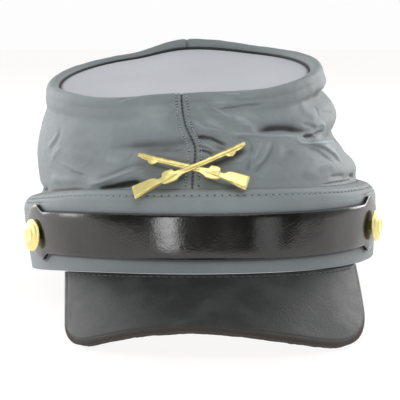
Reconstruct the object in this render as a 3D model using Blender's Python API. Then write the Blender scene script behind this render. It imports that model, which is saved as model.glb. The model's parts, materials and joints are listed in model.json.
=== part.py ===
"""Leather kepi: a soft crown in two sewn panels with a round top let in below its rolled rim, a stiff hat
band, a moulded peak, and a chin strap with its two buttons and a crossed-rifles badge.

It is modelled in the hat's own frame (metres, front to -Y, the band's bottom edge at z = 0) under one empty,
which is then tipped so that the hat stands on its peak's two lower corners and the back of the band."""

import math

import bmesh
import bpy
from mathutils import Matrix, Vector

# Fits
CLEARANCE = 0.0003

# Hat band
BAND_HALF_WIDTH = 0.0883
BAND_HALF_LENGTH = 0.102
BAND_HEIGHT = 0.0368
BAND_WALL = 0.0022
BAND_TAPER = 0.0024
BAND_TAPER_CURVE = 1.5
BAND_SKEW = 0.003
BAND_SKEW_CURVE = 5
BAND_LEAN = 0.045
SHELF_FRONT = 0.003
SHELF_SIDE = 0.0088
SHELF_LIP = 0.004
BEND_THICKNESS = 1.1 * BAND_WALL
SHELF_THICKNESS = 1.4 * BAND_WALL

# Crown
LEATHER = 0.0015
CROWN_TUCK = 0.01
CROWN_TWIST = math.radians(-5.6)
CROWN_HEIGHT = 0.0545
TOP_SHIFT_X = -0.0084
TOP_SHIFT_Y = -0.016
TOP_TILT = math.radians(16)
TOP_ROLL = math.radians(3.5)
RIM_RADIUS = 0.0685
RIM_WIDTH = 0.0065
RIM_CREST = 0.004
RIM_CREST_ROW = 1.5
RIM_WAVE = 0.003
NECK_DEPTH = 0.0012
NECK_AT = 0.85
NECK_SPREAD = 0.075
SLUMP_DEPTH = 0.004
FOLD_DEPTH = 0.0032
FOLD_BREADTH = 0.0052
HELD_AT_FOOT = 0.12
HELD_AT_RIM = 0.14
TOP_RECESS = 0.0034
TOP_FOLLOWS_RIM = 0.6
TOP_THICKNESS = 0.0018
TOP_SAG = 0.0015
TOP_LEDGE = 0.0045

# Peak
PEAK_SPAN = math.radians(52)
PEAK_REACH = 0.038
PEAK_SIDE_REACH = 0.0435
PEAK_SLOPE = math.radians(26)
PEAK_SIDE_SLOPE = math.radians(37)
PEAK_DROOP = 0.0012
PEAK_BOW = 0.004
PEAK_BOW_AT = 0.46
PEAK_BOW_SPREAD = 0.4
PEAK_HOLLOW = 0.15
PEAK_CORNER_LEFT = 0.016
PEAK_CORNER_RIGHT = 0.025
PEAK_TOE_IN = math.radians(1.5)
PEAK_THICKNESS = 0.003
PEAK_FREE_TO = 0.9
PEAK_TUCK = 1.02

# Chin strap and buttons
STRAP_WIDTH = 0.0192
STRAP_THICKNESS = 0.002
STRAP_HEIGHT = 0.0158
STRAP_RISE = 0.002
STRAP_TURN = math.radians(-2)
STRAP_FLARE = 0.0065
STRAP_FLARE_START = 0.0072
STRAP_FLARE_WIDTH = 0.0258
STRAP_FLARE_CURVE = 1.6
STRAP_CORNER = 0.004
STRAP_TIP = 0.011
STRAP_TIP_BLUNT = 0.06
BUTTON_BEARING = math.radians(62)
BUTTON_HEIGHT = 0.0166
BUTTON_RADIUS = 0.0075
BUTTON_DOME = 0.0025
BUTTON_STAND = 0.0014
BUTTON_EDGE = 0.0005
BUTTON_BACK = 0.9
SHANK_RADIUS = 0.0024

# Badge
BADGE_LENGTH = 0.052
BADGE_CROSSING = math.radians(19.6)
BADGE_ROLL = math.radians(5)
BADGE_SHEAR = 0.27
BADGE_RISE = 0.0102
BADGE_SIDE = 0.0004
BADGE_THICKNESS = 0.0014
BADGE_STAND = 0.0022
BADGE_LEAN = 0.11
BADGE_BELLY_AT = 0.48
BADGE_BELLY_SPREAD = 0.5
BADGE_EDGE = 0.55
BADGE_RIDGE = 0.45
BADGE_LIFT = 0.5
POST_RADIUS = 0.0011
POST_SPACING = 0.008
POST_DEPTH = 0.4

# Height of each line of the band's outer face, and how far it has drawn in across the shelf, both as shares.
BAND_SHOULDER = (
    ("widest line", 0.80, 0.00),
    ("shoulder", 0.87, 0.06),
    ("stitched edge", 0.92, 0.20),
    ("top of the bend", 0.97, 0.55),
    ("shelf at the crown", 1.00, 1.00),
)

# Rise of the rim above its plane at crown bearings in degrees, as a share of RIM_WAVE.
RIM_RISES = (
    ("front seam", 0, 0.90),
    ("front right", 45, -0.05),
    ("right", 90, 0.05),
    ("back right", 140, -0.30),
    ("back seam", 180, 0.90),
    ("back left", 209, -1.00),
    ("left", 270, -1.12),
    ("front left", 316, -0.45),
)

# Soft bulges of the crown's wall: crown bearing and spread in degrees, height and spread as shares of the
# wall's height, and the push outwards as a share of SLUMP_DEPTH.
CROWN_SLUMPS = (
    ("front belly", 2, 0.48, 42, 0.26, 1.00),
    ("left side belly", -84, 0.44, 36, 0.30, 0.70),
    ("right side pinch", 86, 0.43, 22, 0.13, -1.25),
    ("right side foot", 80, 0.14, 30, 0.10, 0.40),
    ("right side brow", 84, 0.62, 26, 0.09, 0.15),
    ("right side neck", 84, 0.85, 32, 0.085, -0.90),
    ("back belly", 176, 0.34, 52, 0.22, 0.80),
)

# Folds of the crown's wall: where the line of each starts and ends (crown bearing in degrees, share of the
# wall's height), its breadth as a share of FOLD_BREADTH and its rise as a share of FOLD_DEPTH.
CROWN_FOLDS = (
    ("left diagonal ridge", -43, 0.11, -12, 0.37, 1.0, 0.80),
    ("hollow below the diagonal", -37, 0.07, -19, 0.17, 0.8, -0.60),
    ("left short crease", -45, 0.28, -37, 0.12, 0.6, -0.40),
    ("left cross hollow", -36, 0.57, -1, 0.54, 1.5, -0.85),
    ("ridge below the left rim", -28, 0.86, -4, 0.84, 0.9, 0.40),
    ("right brow valley", 10, 0.86, 38, 0.80, 0.9, -0.65),
    ("right brow ridge", 4, 0.86, 14, 0.66, 0.8, 0.50),
    ("right cross crease", 23, 0.70, 50, 0.66, 0.8, -0.90),
    ("right cross ridge", 14, 0.64, 44, 0.57, 0.9, 0.70),
    ("right pinch line", 42, 0.53, 86, 0.45, 0.9, -1.00),
    ("seam pucker", 3, 0.50, 13, 0.46, 0.8, -0.60),
    ("valley by the badge", 32, 0.48, 21, 0.24, 1.2, -0.55),
    ("right foot ridge", 38, 0.13, 58, 0.27, 1.0, 0.85),
    ("left flank crease", -58, 0.66, -78, 0.40, 1.0, -0.55),
    ("back right drape", 128, 0.78, 150, 0.28, 1.6, -0.75),
    ("back left drape", -130, 0.74, -152, 0.26, 1.6, -0.70),
    ("back cross fold", 150, 0.52, 208, 0.48, 1.4, -0.60),
)

# Side view of one rifle, from butt to muzzle: station, lower line and upper line as shares of its length.
RIFLE_STATIONS = (
    ("butt plate", -0.500, -0.088, 0.040),
    ("toe", -0.485, -0.090, 0.043),
    ("heel", -0.430, -0.076, 0.044),
    ("comb", -0.340, -0.052, 0.046),
    ("comb nose", -0.312, -0.046, 0.040),
    ("wrist", -0.285, -0.040, 0.016),
    ("guard rear", -0.262, -0.038, 0.016),
    ("hammer rear", -0.245, -0.054, 0.022),
    ("hammer heel", -0.236, -0.058, 0.054),
    ("hammer", -0.205, -0.062, 0.064),
    ("hammer front", -0.155, -0.062, 0.058),
    ("lock", -0.140, -0.058, 0.030),
    ("guard front", -0.120, -0.044, 0.026),
    ("breech", -0.080, -0.030, 0.024),
    ("forestock", 0.100, -0.026, 0.023),
    ("band rear", 0.300, -0.026, 0.022),
    ("band heel", 0.318, -0.050, 0.023),
    ("band", 0.345, -0.062, 0.023),
    ("band front", 0.375, -0.050, 0.023),
    ("ramrod", 0.392, -0.032, 0.022),
    ("ramrod head", 0.455, -0.030, 0.022),
    ("muzzle shoulder", 0.470, -0.020, 0.021),
    ("muzzle", 0.500, -0.017, 0.018),
)

# Mesh counts
BAND_COLUMNS = 72
BAND_WALL_ROWS = (0, 0.35, 0.7)
PANEL_COLUMNS = 31
FRONT_DENSITY = 0.45
WALL_ROWS = (0.05, 0.12, 0.20, 0.29, 0.38, 0.47, 0.56, 0.65, 0.74, 0.83, 0.91)
RIM_TURNS = (0, 35, 70, 110, 150, 180)
TOP_SEGMENTS = 60
TOP_RINGS = (0.45, 0.85)
PEAK_COLUMNS = 28
PEAK_ROWS = 5
PEAK_LIMIT = 0.999
STRAP_COLUMNS = 50
STRAP_FLARE_STEPS = (0.35, 0.65, 0.85, 1.0)
STRAP_TIP_STEPS = (0.12, 0.3, 0.5, 0.7, 0.85, 0.94, 0.995)
BUTTON_SIDES = 24
SETTLE_PASSES = 6


def clear_scene():
    for obj in list(bpy.data.objects):
        bpy.data.objects.remove(obj, do_unlink=True)


def make_material(name, colour, roughness, metallic=0.0):
    material = bpy.data.materials.new(name)
    material.use_nodes = True
    shader = material.node_tree.nodes["Principled BSDF"]
    shader.inputs["Base Color"].default_value = (*colour, 1.0)
    shader.inputs["Roughness"].default_value = roughness
    shader.inputs["Metallic"].default_value = metallic
    return material


def add_object(name, mesh, material, parent):
    obj = bpy.data.objects.new(name, mesh)
    bpy.context.scene.collection.objects.link(obj)
    obj.parent = parent
    mesh.materials.clear()
    mesh.materials.append(material)
    mesh.shade_smooth()
    mesh.set_sharp_from_angle(angle=math.radians(50))
    return obj


def mesh_from(name, shape):
    """Turns a bmesh into a mesh with its faces pointing out."""
    bmesh.ops.recalc_face_normals(shape, faces=shape.faces[:])
    mesh = bpy.data.meshes.new(name)
    shape.to_mesh(mesh)
    shape.free()
    return mesh


def evaluated_copy(obj):
    graph = bpy.context.evaluated_depsgraph_get()
    return bpy.data.meshes.new_from_object(obj.evaluated_get(graph))


def bell(distance, spread):
    return math.exp(-((distance / spread) ** 2))


def wrapped(degrees):
    """The same bearing between -180 and 180 degrees."""
    return (degrees + 180) % 360 - 180


def thick_sheet(name, surface, columns, rows, thickness):
    """A sheet between a surface and its copy set back along its normals. surface(u, v) gives the face side,
    with its normal along du x dv."""
    shape = bmesh.new()
    step = 1e-4
    face_side = []
    back_side = []
    for v in rows:
        face_row = []
        back_row = []
        for u in columns:
            point = surface(u, v)
            along = surface(u + step, v) - surface(u - step, v)
            across = surface(u, v + step) - surface(u, v - step)
            normal = along.cross(across).normalized()
            face_row.append(shape.verts.new(point))
            back_row.append(shape.verts.new(point - normal * thickness))
        face_side.append(face_row)
        back_side.append(back_row)
    last_row = len(rows) - 1
    last_column = len(columns) - 1
    for i in range(last_row):
        for j in range(last_column):
            shape.faces.new(
                (face_side[i][j], face_side[i][j + 1], face_side[i + 1][j + 1], face_side[i + 1][j])
            )
            shape.faces.new(
                (back_side[i][j], back_side[i + 1][j], back_side[i + 1][j + 1], back_side[i][j + 1])
            )
    for i in range(last_row):
        for j in (0, last_column):
            shape.faces.new((face_side[i][j], face_side[i + 1][j], back_side[i + 1][j], back_side[i][j]))
    for j in range(last_column):
        for i in (0, last_row):
            shape.faces.new((face_side[i][j], back_side[i][j], back_side[i][j + 1], face_side[i][j + 1]))
    return mesh_from(name, shape)


def ring_solid(name, sections):
    """A ring through closed sections, each a list of as many points."""
    shape = bmesh.new()
    loops = [[shape.verts.new(point) for point in section] for section in sections]
    for k, loop in enumerate(loops):
        following = loops[(k + 1) % len(loops)]
        for i in range(len(loop)):
            j = (i + 1) % len(loop)
            shape.faces.new((loop[i], loop[j], following[j], following[i]))
    return mesh_from(name, shape)


def turned_solid(name, profile, sides):
    """A solid turned about Z from a profile of (radius, height) that starts and ends on the axis."""
    shape = bmesh.new()
    points = [shape.verts.new((radius, 0, height)) for radius, height in profile]
    edges = [shape.edges.new(pair) for pair in zip(points, points[1:])]
    bmesh.ops.spin(
        shape,
        geom=points + edges,
        cent=(0, 0, 0),
        axis=(0, 0, 1),
        angle=math.tau,
        steps=sides,
        use_duplicate=False,
    )
    bmesh.ops.remove_doubles(shape, verts=shape.verts[:], dist=1e-6)
    return mesh_from(name, shape)


def even_steps(start, end, count):
    return [start + (end - start) * i / count for i in range(count + 1)]


def band_normal(bearing):
    """Outward direction of the band's oval at a bearing from the front, positive towards +X."""
    return Vector(
        (math.sin(bearing) / BAND_HALF_WIDTH, -math.cos(bearing) / BAND_HALF_LENGTH, 0)
    ).normalized()


def band_point(bearing, inset, height):
    """A point inset from the band's widest line and raised above its bottom edge."""
    point = Vector((BAND_HALF_WIDTH * math.sin(bearing), -BAND_HALF_LENGTH * math.cos(bearing), 0))
    point -= band_normal(bearing) * inset
    point.x -= BAND_LEAN * (height - BAND_HEIGHT / 2)
    point.z = height + BAND_SKEW * math.sin(bearing) ** BAND_SKEW_CURVE
    return point


def shelf_width(bearing):
    side = math.sin(bearing) ** 2
    return SHELF_FRONT + (SHELF_SIDE - SHELF_FRONT) * side


def band_draw_in(height):
    """How far the band's outer face lies inside its widest line, below the shoulder."""
    widest = BAND_SHOULDER[0][1] * BAND_HEIGHT
    return BAND_TAPER * max(0.0, 1 - height / widest) ** BAND_TAPER_CURVE


def band_section(bearing):
    """Closed section of the band: up its outer face, over the shelf, down the lip and back down inside."""
    shelf = shelf_width(bearing)
    widest = BAND_SHOULDER[0][1] * BAND_HEIGHT
    outer = [(band_draw_in(share * widest), share * widest) for share in BAND_WALL_ROWS]
    outer += [(draw * shelf, height * BAND_HEIGHT) for _, height, draw in BAND_SHOULDER]
    lip_bottom = BAND_HEIGHT - SHELF_LIP
    inner = [
        (shelf, lip_bottom),
        (shelf - BAND_WALL / 2, lip_bottom),
        (max(BAND_WALL, shelf - BAND_WALL), BAND_HEIGHT - SHELF_THICKNESS),
        (BEND_THICKNESS, widest),
        (BAND_WALL, widest / 2),
        (BAND_TAPER + BAND_WALL, 0),
    ]
    return [band_point(bearing, inset, height) for inset, height in outer + inner]


def build_band(leather, hat):
    sections = [band_section(math.tau * k / BAND_COLUMNS) for k in range(BAND_COLUMNS)]
    add_object("band", ring_solid("band", sections), leather, hat)


def top_centre():
    return Vector((TOP_SHIFT_X, TOP_SHIFT_Y, BAND_HEIGHT + CROWN_HEIGHT))


def top_axes():
    """Directions across, backwards and up on the plane of the crown's top."""
    across = Vector((math.cos(TOP_ROLL), 0, math.sin(TOP_ROLL)))
    back = Vector((0, math.cos(TOP_TILT), math.sin(TOP_TILT)))
    back = (back - across * back.dot(across)).normalized()
    return across, back, across.cross(back)


def rim_wave(bearing):
    """Rise of the rim at a crown bearing, eased between the rows of RIM_RISES."""
    degrees = math.degrees(bearing) % 360
    rows = [(at, rise) for _, at, rise in RIM_RISES]
    rows.append((360, rows[0][1]))
    for (low, low_rise), (high, high_rise) in zip(rows, rows[1:]):
        if degrees <= high:
            ease = (1 - math.cos(math.pi * (degrees - low) / (high - low))) / 2
            return RIM_WAVE * (low_rise + (high_rise - low_rise) * ease)
    return 0.0


def top_point(bearing, radius, rise, follow=1.0):
    """A point on the crown's top: crown bearing, distance from its centre, height above the rim's plane, and
    the share of the rim's wave that it follows."""
    across, back, up = top_axes()
    turned = bearing + CROWN_TWIST
    outwards = across * math.sin(turned) - back * math.cos(turned)
    lift = rise + follow * rim_wave(bearing) * (radius / RIM_RADIUS) ** 2
    return top_centre() + outwards * radius + up * lift


def crown_foot(bearing, height):
    turned = bearing + CROWN_TWIST
    return band_point(turned, shelf_width(turned) + CLEARANCE, height)


def fold_push(bearing, share):
    """How far the slumps and folds push the crown's wall outwards."""
    degrees = math.degrees(bearing)
    wall_height = (top_point(bearing, RIM_RADIUS, 0) - crown_foot(bearing, BAND_HEIGHT)).length
    degree_length = RIM_RADIUS * math.radians(1)
    push = -NECK_DEPTH * bell(share - NECK_AT, NECK_SPREAD)
    for _, at, height, spread, rows, depth in CROWN_SLUMPS:
        push += SLUMP_DEPTH * depth * bell(wrapped(degrees - at), spread) * bell(share - height, rows)
    for _, start, low, end, high, breadth, rise in CROWN_FOLDS:
        run = Vector(((end - start) * degree_length, (high - low) * wall_height))
        here = Vector((wrapped(degrees - start) * degree_length, (share - low) * wall_height))
        along = here.dot(run) / run.length_squared
        nearest = run * min(1.0, max(0.0, along))
        push += FOLD_DEPTH * rise * bell((here - nearest).length, FOLD_BREADTH * breadth)
    free = min(1.0, share / HELD_AT_FOOT) * min(1.0, (1 - share) / HELD_AT_RIM)
    return push * max(0.0, free)


def crown_wall(bearing, share):
    """The crown's side wall, from the shelf (share 0) to the widest line of the rim (share 1)."""
    foot = crown_foot(bearing, BAND_HEIGHT)
    rim = top_point(bearing, RIM_RADIUS, 0)
    outwards = band_normal(bearing + CROWN_TWIST)
    return foot.lerp(rim, share) + outwards * fold_push(bearing, share)


def crown_surface(bearing, row):
    """The whole outer face of a panel. Rows -1 to 0 are tucked inside the band, 0 to 1 the wall, 1 to 2 the
    turn over the rim, 2 to 3 its inner side and 3 to 4 the ledge under the round top."""
    if row <= 0:
        return crown_foot(bearing, BAND_HEIGHT + CROWN_TUCK * row)
    if row <= 1:
        return crown_wall(bearing, row)
    middle = RIM_RADIUS - RIM_WIDTH / 2
    ledge_height = RIM_CREST - TOP_RECESS - TOP_THICKNESS - CLEARANCE
    past_crest = min(1.0, max(0.0, (row - RIM_CREST_ROW) / (2 - RIM_CREST_ROW)))
    follow = 1 + (TOP_FOLLOWS_RIM - 1) * past_crest
    if row <= 2:
        turn = math.pi * (row - 1)
        radius = middle + RIM_WIDTH / 2 * math.cos(turn)
        return top_point(bearing, radius, RIM_CREST * math.sin(turn), follow)
    inner = RIM_RADIUS - RIM_WIDTH
    if row <= 3:
        return top_point(bearing, inner, ledge_height * (row - 2), follow)
    return top_point(bearing, inner - TOP_LEDGE * (row - 3), ledge_height, follow)


def build_panels(leather, hat):
    rows = [-1, -0.4, 0, *WALL_ROWS]
    rows += [1 + turn / 180 for turn in RIM_TURNS]
    # Just above the corner, so that the wall there keeps its own thickness.
    rows += [2.999, 3.3, 4]
    seam = CLEARANCE / 2 / BAND_HALF_WIDTH
    shares = even_steps(0, 1, PANEL_COLUMNS)
    bearings = [
        seam + (math.pi - 2 * seam) * (share * (1 - FRONT_DENSITY) + share * share * FRONT_DENSITY)
        for share in shares
    ]
    right = thick_sheet("crown_panel_right", crown_surface, bearings, rows, LEATHER)
    add_object("crown_panel_right", right, leather, hat)
    left_bearings = [-bearing for bearing in reversed(bearings)]
    left = thick_sheet("crown_panel_left", crown_surface, left_bearings, rows, LEATHER)
    add_object("crown_panel_left", left, leather, hat)


def build_crown_top(leather, hat):
    """The round top, a little dished, let in below the rim."""
    radius = RIM_RADIUS - RIM_WIDTH - CLEARANCE
    height = RIM_CREST - TOP_RECESS
    shape = bmesh.new()
    faces = []
    for level in (height, height - TOP_THICKNESS):
        rings = []
        for ring in (*TOP_RINGS, 1.0):
            sag = TOP_SAG * (1 - ring * ring)
            rings.append(
                [
                    shape.verts.new(
                        top_point(math.tau * k / TOP_SEGMENTS, radius * ring, level - sag, TOP_FOLLOWS_RIM)
                    )
                    for k in range(TOP_SEGMENTS)
                ]
            )
        shape.faces.new(rings[0])
        for inner, outer in zip(rings, rings[1:]):
            for k in range(TOP_SEGMENTS):
                following = (k + 1) % TOP_SEGMENTS
                shape.faces.new((inner[k], inner[following], outer[following], outer[k]))
        faces.append(rings[-1])
    upper, lower = faces
    for k in range(TOP_SEGMENTS):
        following = (k + 1) % TOP_SEGMENTS
        shape.faces.new((upper[k], upper[following], lower[following], lower[k]))
    add_object("crown_top", mesh_from("crown_top", shape), leather, hat)


def peak_edge(share):
    """Reach and slope of the peak at a share of its span, -1 at the left end and 1 at the right."""
    side = abs(share)
    half_chord = BAND_HALF_WIDTH * math.sin(PEAK_SPAN)
    from_side = half_chord * (1 - side)
    reach = PEAK_REACH + (PEAK_SIDE_REACH - PEAK_REACH) * side**2
    corner = PEAK_CORNER_LEFT if share < 0 else PEAK_CORNER_RIGHT
    if from_side < corner:
        over = corner - from_side
        reach -= corner - math.sqrt(max(0.0, corner**2 - over**2))
    slope = PEAK_SLOPE + (PEAK_SIDE_SLOPE - PEAK_SLOPE) * side**2
    return reach, slope


def peak_surface(share, row):
    """Top face of the peak. Rows run in from the cut edge (0) to the band (1) and under its bottom edge (2)."""
    bearing = PEAK_SPAN * share
    if row >= 1:
        return band_point(bearing, BAND_TAPER + BAND_WALL * (row - 1), -CLEARANCE)
    start = band_point(bearing, BAND_TAPER, -CLEARANCE)
    reach, slope = peak_edge(share)
    toe_in = PEAK_TOE_IN * share
    forwards = Vector((-math.sin(toe_in), -math.cos(toe_in), 0))
    out = 1 - row
    drop = reach * math.tan(slope) * ((1 - PEAK_HOLLOW) * out + PEAK_HOLLOW * out**2)
    droop = (PEAK_DROOP * share + PEAK_BOW * bell(share - PEAK_BOW_AT, PEAK_BOW_SPREAD)) * out
    return start + forwards * reach * out - Vector((0, 0, drop + droop))


def build_peak(leather, hat):
    shares = [PEAK_LIMIT * math.sin(math.pi / 2 * step) for step in even_steps(-1, 1, PEAK_COLUMNS)]
    rows = [*even_steps(0, PEAK_FREE_TO, PEAK_ROWS), PEAK_TUCK, 2]
    sheet = thick_sheet("peak", peak_surface, shares, rows, PEAK_THICKNESS)
    add_object("peak", sheet, leather, hat)


def strap_half_width(past_corner):
    """Half the strap's width at a distance past its flared corner, negative towards the front."""
    corner = STRAP_FLARE_WIDTH / 2
    if past_corner < -STRAP_FLARE:
        return STRAP_WIDTH / 2
    if past_corner < 0:
        ease = (past_corner + STRAP_FLARE) / STRAP_FLARE
        return STRAP_WIDTH / 2 + (corner - STRAP_WIDTH / 2) * ease**STRAP_FLARE_CURVE
    share = min(1.0, past_corner / (STRAP_CORNER + STRAP_TIP))
    return corner * (STRAP_TIP_BLUNT + (1 - STRAP_TIP_BLUNT) * math.sqrt(max(0.0, 1 - share**2)))


def strap_surface(along, across):
    """Outer face of the strap. along is the length from its middle, negative to the left, and across runs
    from -1 at its lower edge to 1 at its upper edge."""
    rise = STRAP_RISE * (along / strap_corner()) ** 2
    height = STRAP_HEIGHT + rise + strap_half_width(abs(along) - strap_corner()) * across
    outset = CLEARANCE + STRAP_THICKNESS - band_draw_in(height)
    return band_point(STRAP_TURN + along / mean_radius(), -outset, height)


def mean_radius():
    return (BAND_HALF_WIDTH + BAND_HALF_LENGTH) / 2


def strap_corner():
    """Length along the strap from its middle to its flared corners."""
    return BUTTON_BEARING * mean_radius() - STRAP_CORNER


def build_strap(leather, hat):
    flare_start = strap_corner() - STRAP_FLARE_START
    corner = strap_corner()
    tip = corner + STRAP_CORNER + STRAP_TIP
    side = [flare_start + (corner - flare_start) * share for share in STRAP_FLARE_STEPS]
    side += [corner + (tip - corner) * share for share in STRAP_TIP_STEPS]
    lengths = [-length for length in reversed(side)]
    lengths += even_steps(-flare_start, flare_start, STRAP_COLUMNS - 2 * len(side))
    lengths += side
    mesh = thick_sheet("chin_strap", strap_surface, lengths, (-1, -0.35, 0.35, 1), STRAP_THICKNESS)
    strap = add_object("chin_strap", mesh, leather, hat)
    for side_sign in (-1, 1):
        cut_shank_hole(strap, side_sign, hat)


def cut_shank_hole(strap, side_sign, hat):
    shape = bmesh.new()
    bmesh.ops.create_cone(
        shape,
        cap_ends=True,
        segments=12,
        radius1=SHANK_RADIUS + CLEARANCE,
        radius2=SHANK_RADIUS + CLEARANCE,
        depth=STRAP_THICKNESS * 6,
    )
    cutter = bpy.data.objects.new("shank_hole", mesh_from("shank_hole", shape))
    bpy.context.scene.collection.objects.link(cutter)
    cutter.parent = hat
    place_on_band(cutter, side_sign)
    cutter.hide_render = True
    cutter.display_type = "WIRE"
    cut = strap.modifiers.new("shank hole", "BOOLEAN")
    cut.operation = "DIFFERENCE"
    cut.solver = "EXACT"
    cut.object = cutter


def place_on_band(obj, side_sign):
    """Stands an object on the band's outer face at a button's place, its own Z pointing out."""
    bearing = STRAP_TURN + BUTTON_BEARING * side_sign
    normal = band_normal(bearing)
    obj.location = band_point(bearing, band_draw_in(BUTTON_HEIGHT), BUTTON_HEIGHT)
    obj.rotation_mode = "QUATERNION"
    obj.rotation_quaternion = normal.to_track_quat("Z", "Y")


def build_buttons(brass, hat):
    strap_top = CLEARANCE + STRAP_THICKNESS
    back = strap_top + BUTTON_STAND
    profile = [(0, CLEARANCE), (SHANK_RADIUS, CLEARANCE), (SHANK_RADIUS, back)]
    edge = back + BUTTON_EDGE
    profile += [(BUTTON_RADIUS * BUTTON_BACK, back), (BUTTON_RADIUS, edge)]
    for turn in (20, 42, 64):
        angle = math.radians(turn)
        profile.append((BUTTON_RADIUS * math.cos(angle), edge + BUTTON_DOME * math.sin(angle)))
    profile.append((0, edge + BUTTON_DOME))
    for name, side_sign in (("button_left", -1), ("button_right", 1)):
        button = add_object(name, turned_solid(name, profile, BUTTON_SIDES), brass, hat)
        place_on_band(button, side_sign)


def badge_point(across, up, out):
    """Carries a point of the flat badge onto the crown's curved front. across and up are measured from the
    crossing of the rifles, out from the leather."""
    front_rim = top_point(0, RIM_RADIUS, 0)
    front_foot = crown_foot(0, BAND_HEIGHT)
    wall = front_rim - front_foot
    share = (BADGE_RISE + up) / wall.length
    bearing = (across + BADGE_SHEAR * up + BADGE_SIDE) / BAND_HALF_WIDTH
    foot = crown_foot(bearing, BAND_HEIGHT)
    rim = top_point(bearing, RIM_RADIUS, 0)
    belly = SLUMP_DEPTH * bell(share - BADGE_BELLY_AT, BADGE_BELLY_SPREAD)
    outwards = band_normal(bearing + CROWN_TWIST)
    stand = BADGE_STAND + belly - BADGE_LEAN * up
    return foot + (rim - foot) * share + outwards * (stand + out)


def rifle_mesh(name, mirrored, lift):
    """One rifle as a strip of faceted sections with a raised middle, laid on the crown's front."""
    shape = bmesh.new()
    sections = []
    turn = BADGE_CROSSING
    for _, station, low, high in RIFLE_STATIONS:
        section = []
        middle = (low + high) / 2
        edge = BADGE_THICKNESS * BADGE_EDGE
        for height, out in (
            (low, 0),
            (low, edge),
            (middle + (low - middle) * BADGE_RIDGE, BADGE_THICKNESS),
            (middle + (high - middle) * BADGE_RIDGE, BADGE_THICKNESS),
            (high, edge),
            (high, 0),
        ):
            x = BADGE_LENGTH * station
            y = BADGE_LENGTH * height
            across = x * math.cos(turn) - y * math.sin(turn)
            up = x * math.sin(turn) + y * math.cos(turn)
            if mirrored:
                across = -across
            across, up = (
                across * math.cos(BADGE_ROLL) - up * math.sin(BADGE_ROLL),
                across * math.sin(BADGE_ROLL) + up * math.cos(BADGE_ROLL),
            )
            rise = lift if out else 0
            section.append(shape.verts.new(badge_point(across, up, out + rise)))
        sections.append(section)
    for first, second in zip(sections, sections[1:]):
        for i in range(len(first)):
            j = (i + 1) % len(first)
            shape.faces.new((first[i], first[j], second[j], second[i]))
    shape.faces.new(sections[0])
    shape.faces.new(sections[-1])
    return mesh_from(name, shape)


def post_mesh(name, across):
    """A post from the badge's back to the leather."""
    shape = bmesh.new()
    bearing = (across + BADGE_SIDE) / BAND_HALF_WIDTH
    inner = badge_point(across, 0, BADGE_THICKNESS * POST_DEPTH)
    share = BADGE_RISE / (top_point(0, RIM_RADIUS, 0) - crown_foot(0, BAND_HEIGHT)).length
    outwards = band_normal(bearing + CROWN_TWIST)
    leather = crown_wall(bearing, share) + outwards * CLEARANCE
    length = (inner - leather).dot(outwards)
    result = bmesh.ops.create_cone(
        shape, cap_ends=True, segments=8, radius1=POST_RADIUS, radius2=POST_RADIUS, depth=length
    )
    place = Matrix.Translation(inner - outwards * length / 2)
    place @= outwards.to_track_quat("Z", "Y").to_matrix().to_4x4()
    bmesh.ops.transform(shape, matrix=place, verts=result["verts"])
    return mesh_from(name, shape)


def build_badge(brass, hat):
    badge = add_object("badge", rifle_mesh("badge", False, BADGE_THICKNESS * BADGE_LIFT), brass, hat)
    helpers = [("badge_under", rifle_mesh("badge_under", True, 0))]
    for side, across in (("left", -POST_SPACING / 2), ("right", POST_SPACING / 2)):
        helpers.append((f"badge_post_{side}", post_mesh(f"badge_post_{side}", across)))
    for name, mesh in helpers:
        helper = bpy.data.objects.new(name, mesh)
        bpy.context.scene.collection.objects.link(helper)
        helper.parent = hat
        helper.hide_render = True
        helper.display_type = "WIRE"
        union = badge.modifiers.new(name, "BOOLEAN")
        union.operation = "UNION"
        union.solver = "EXACT"
        union.object = helper


def world_points(name):
    obj = bpy.data.objects[name]
    mesh = evaluated_copy(obj)
    points = [obj.matrix_world @ vertex.co for vertex in mesh.vertices]
    bpy.data.meshes.remove(mesh)
    return points


def settle(hat):
    """Tips the hat until the peak's two lower corners and the back of the band share one level, puts that
    level at z = 0 and centres the hat over the origin."""
    bpy.context.view_layer.update()
    peak = world_points("peak")
    band = world_points("band")
    turn = Matrix.Identity(3)
    for _ in range(SETTLE_PASSES):
        left = min((point for point in peak if point.x < 0), key=lambda point: (turn @ point).z)
        right = min((point for point in peak if point.x > 0), key=lambda point: (turn @ point).z)
        back = min((point for point in band if point.y > 0), key=lambda point: (turn @ point).z)
        up = (right - left).cross(back - left).normalized()
        tilt = math.atan2(up.y, up.z)
        roll = math.atan2(-up.x, math.hypot(up.y, up.z))
        turn = Matrix.Rotation(roll, 3, "Y") @ Matrix.Rotation(tilt, 3, "X")
    hat.rotation_euler = turn.to_euler()
    bpy.context.view_layer.update()
    nodes = [obj.name for obj in bpy.data.objects if obj.type == "MESH" and not obj.hide_render]
    points = [point for name in nodes for point in world_points(name)]
    low = Vector(min(point[i] for point in points) for i in range(3))
    high = Vector(max(point[i] for point in points) for i in range(3))
    hat.location = (-(low.x + high.x) / 2, -(low.y + high.y) / 2, -low.z)
    bpy.context.view_layer.update()


def main():
    clear_scene()
    hat = bpy.data.objects.new("kepi", None)
    bpy.context.scene.collection.objects.link(hat)
    grey = make_material("grey_leather", (0.20, 0.225, 0.23), 0.6)
    pale = make_material("top_leather", (0.58, 0.60, 0.62), 0.65)
    dark = make_material("peak_leather", (0.075, 0.08, 0.078), 0.5)
    black = make_material("strap_leather", (0.02, 0.018, 0.018), 0.3)
    brass = make_material("brass", (0.86, 0.70, 0.33), 0.25, 1.0)
    build_band(grey, hat)
    build_panels(grey, hat)
    build_crown_top(pale, hat)
    build_peak(dark, hat)
    build_strap(black, hat)
    build_buttons(brass, hat)
    build_badge(brass, hat)
    settle(hat)


main()
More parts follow.
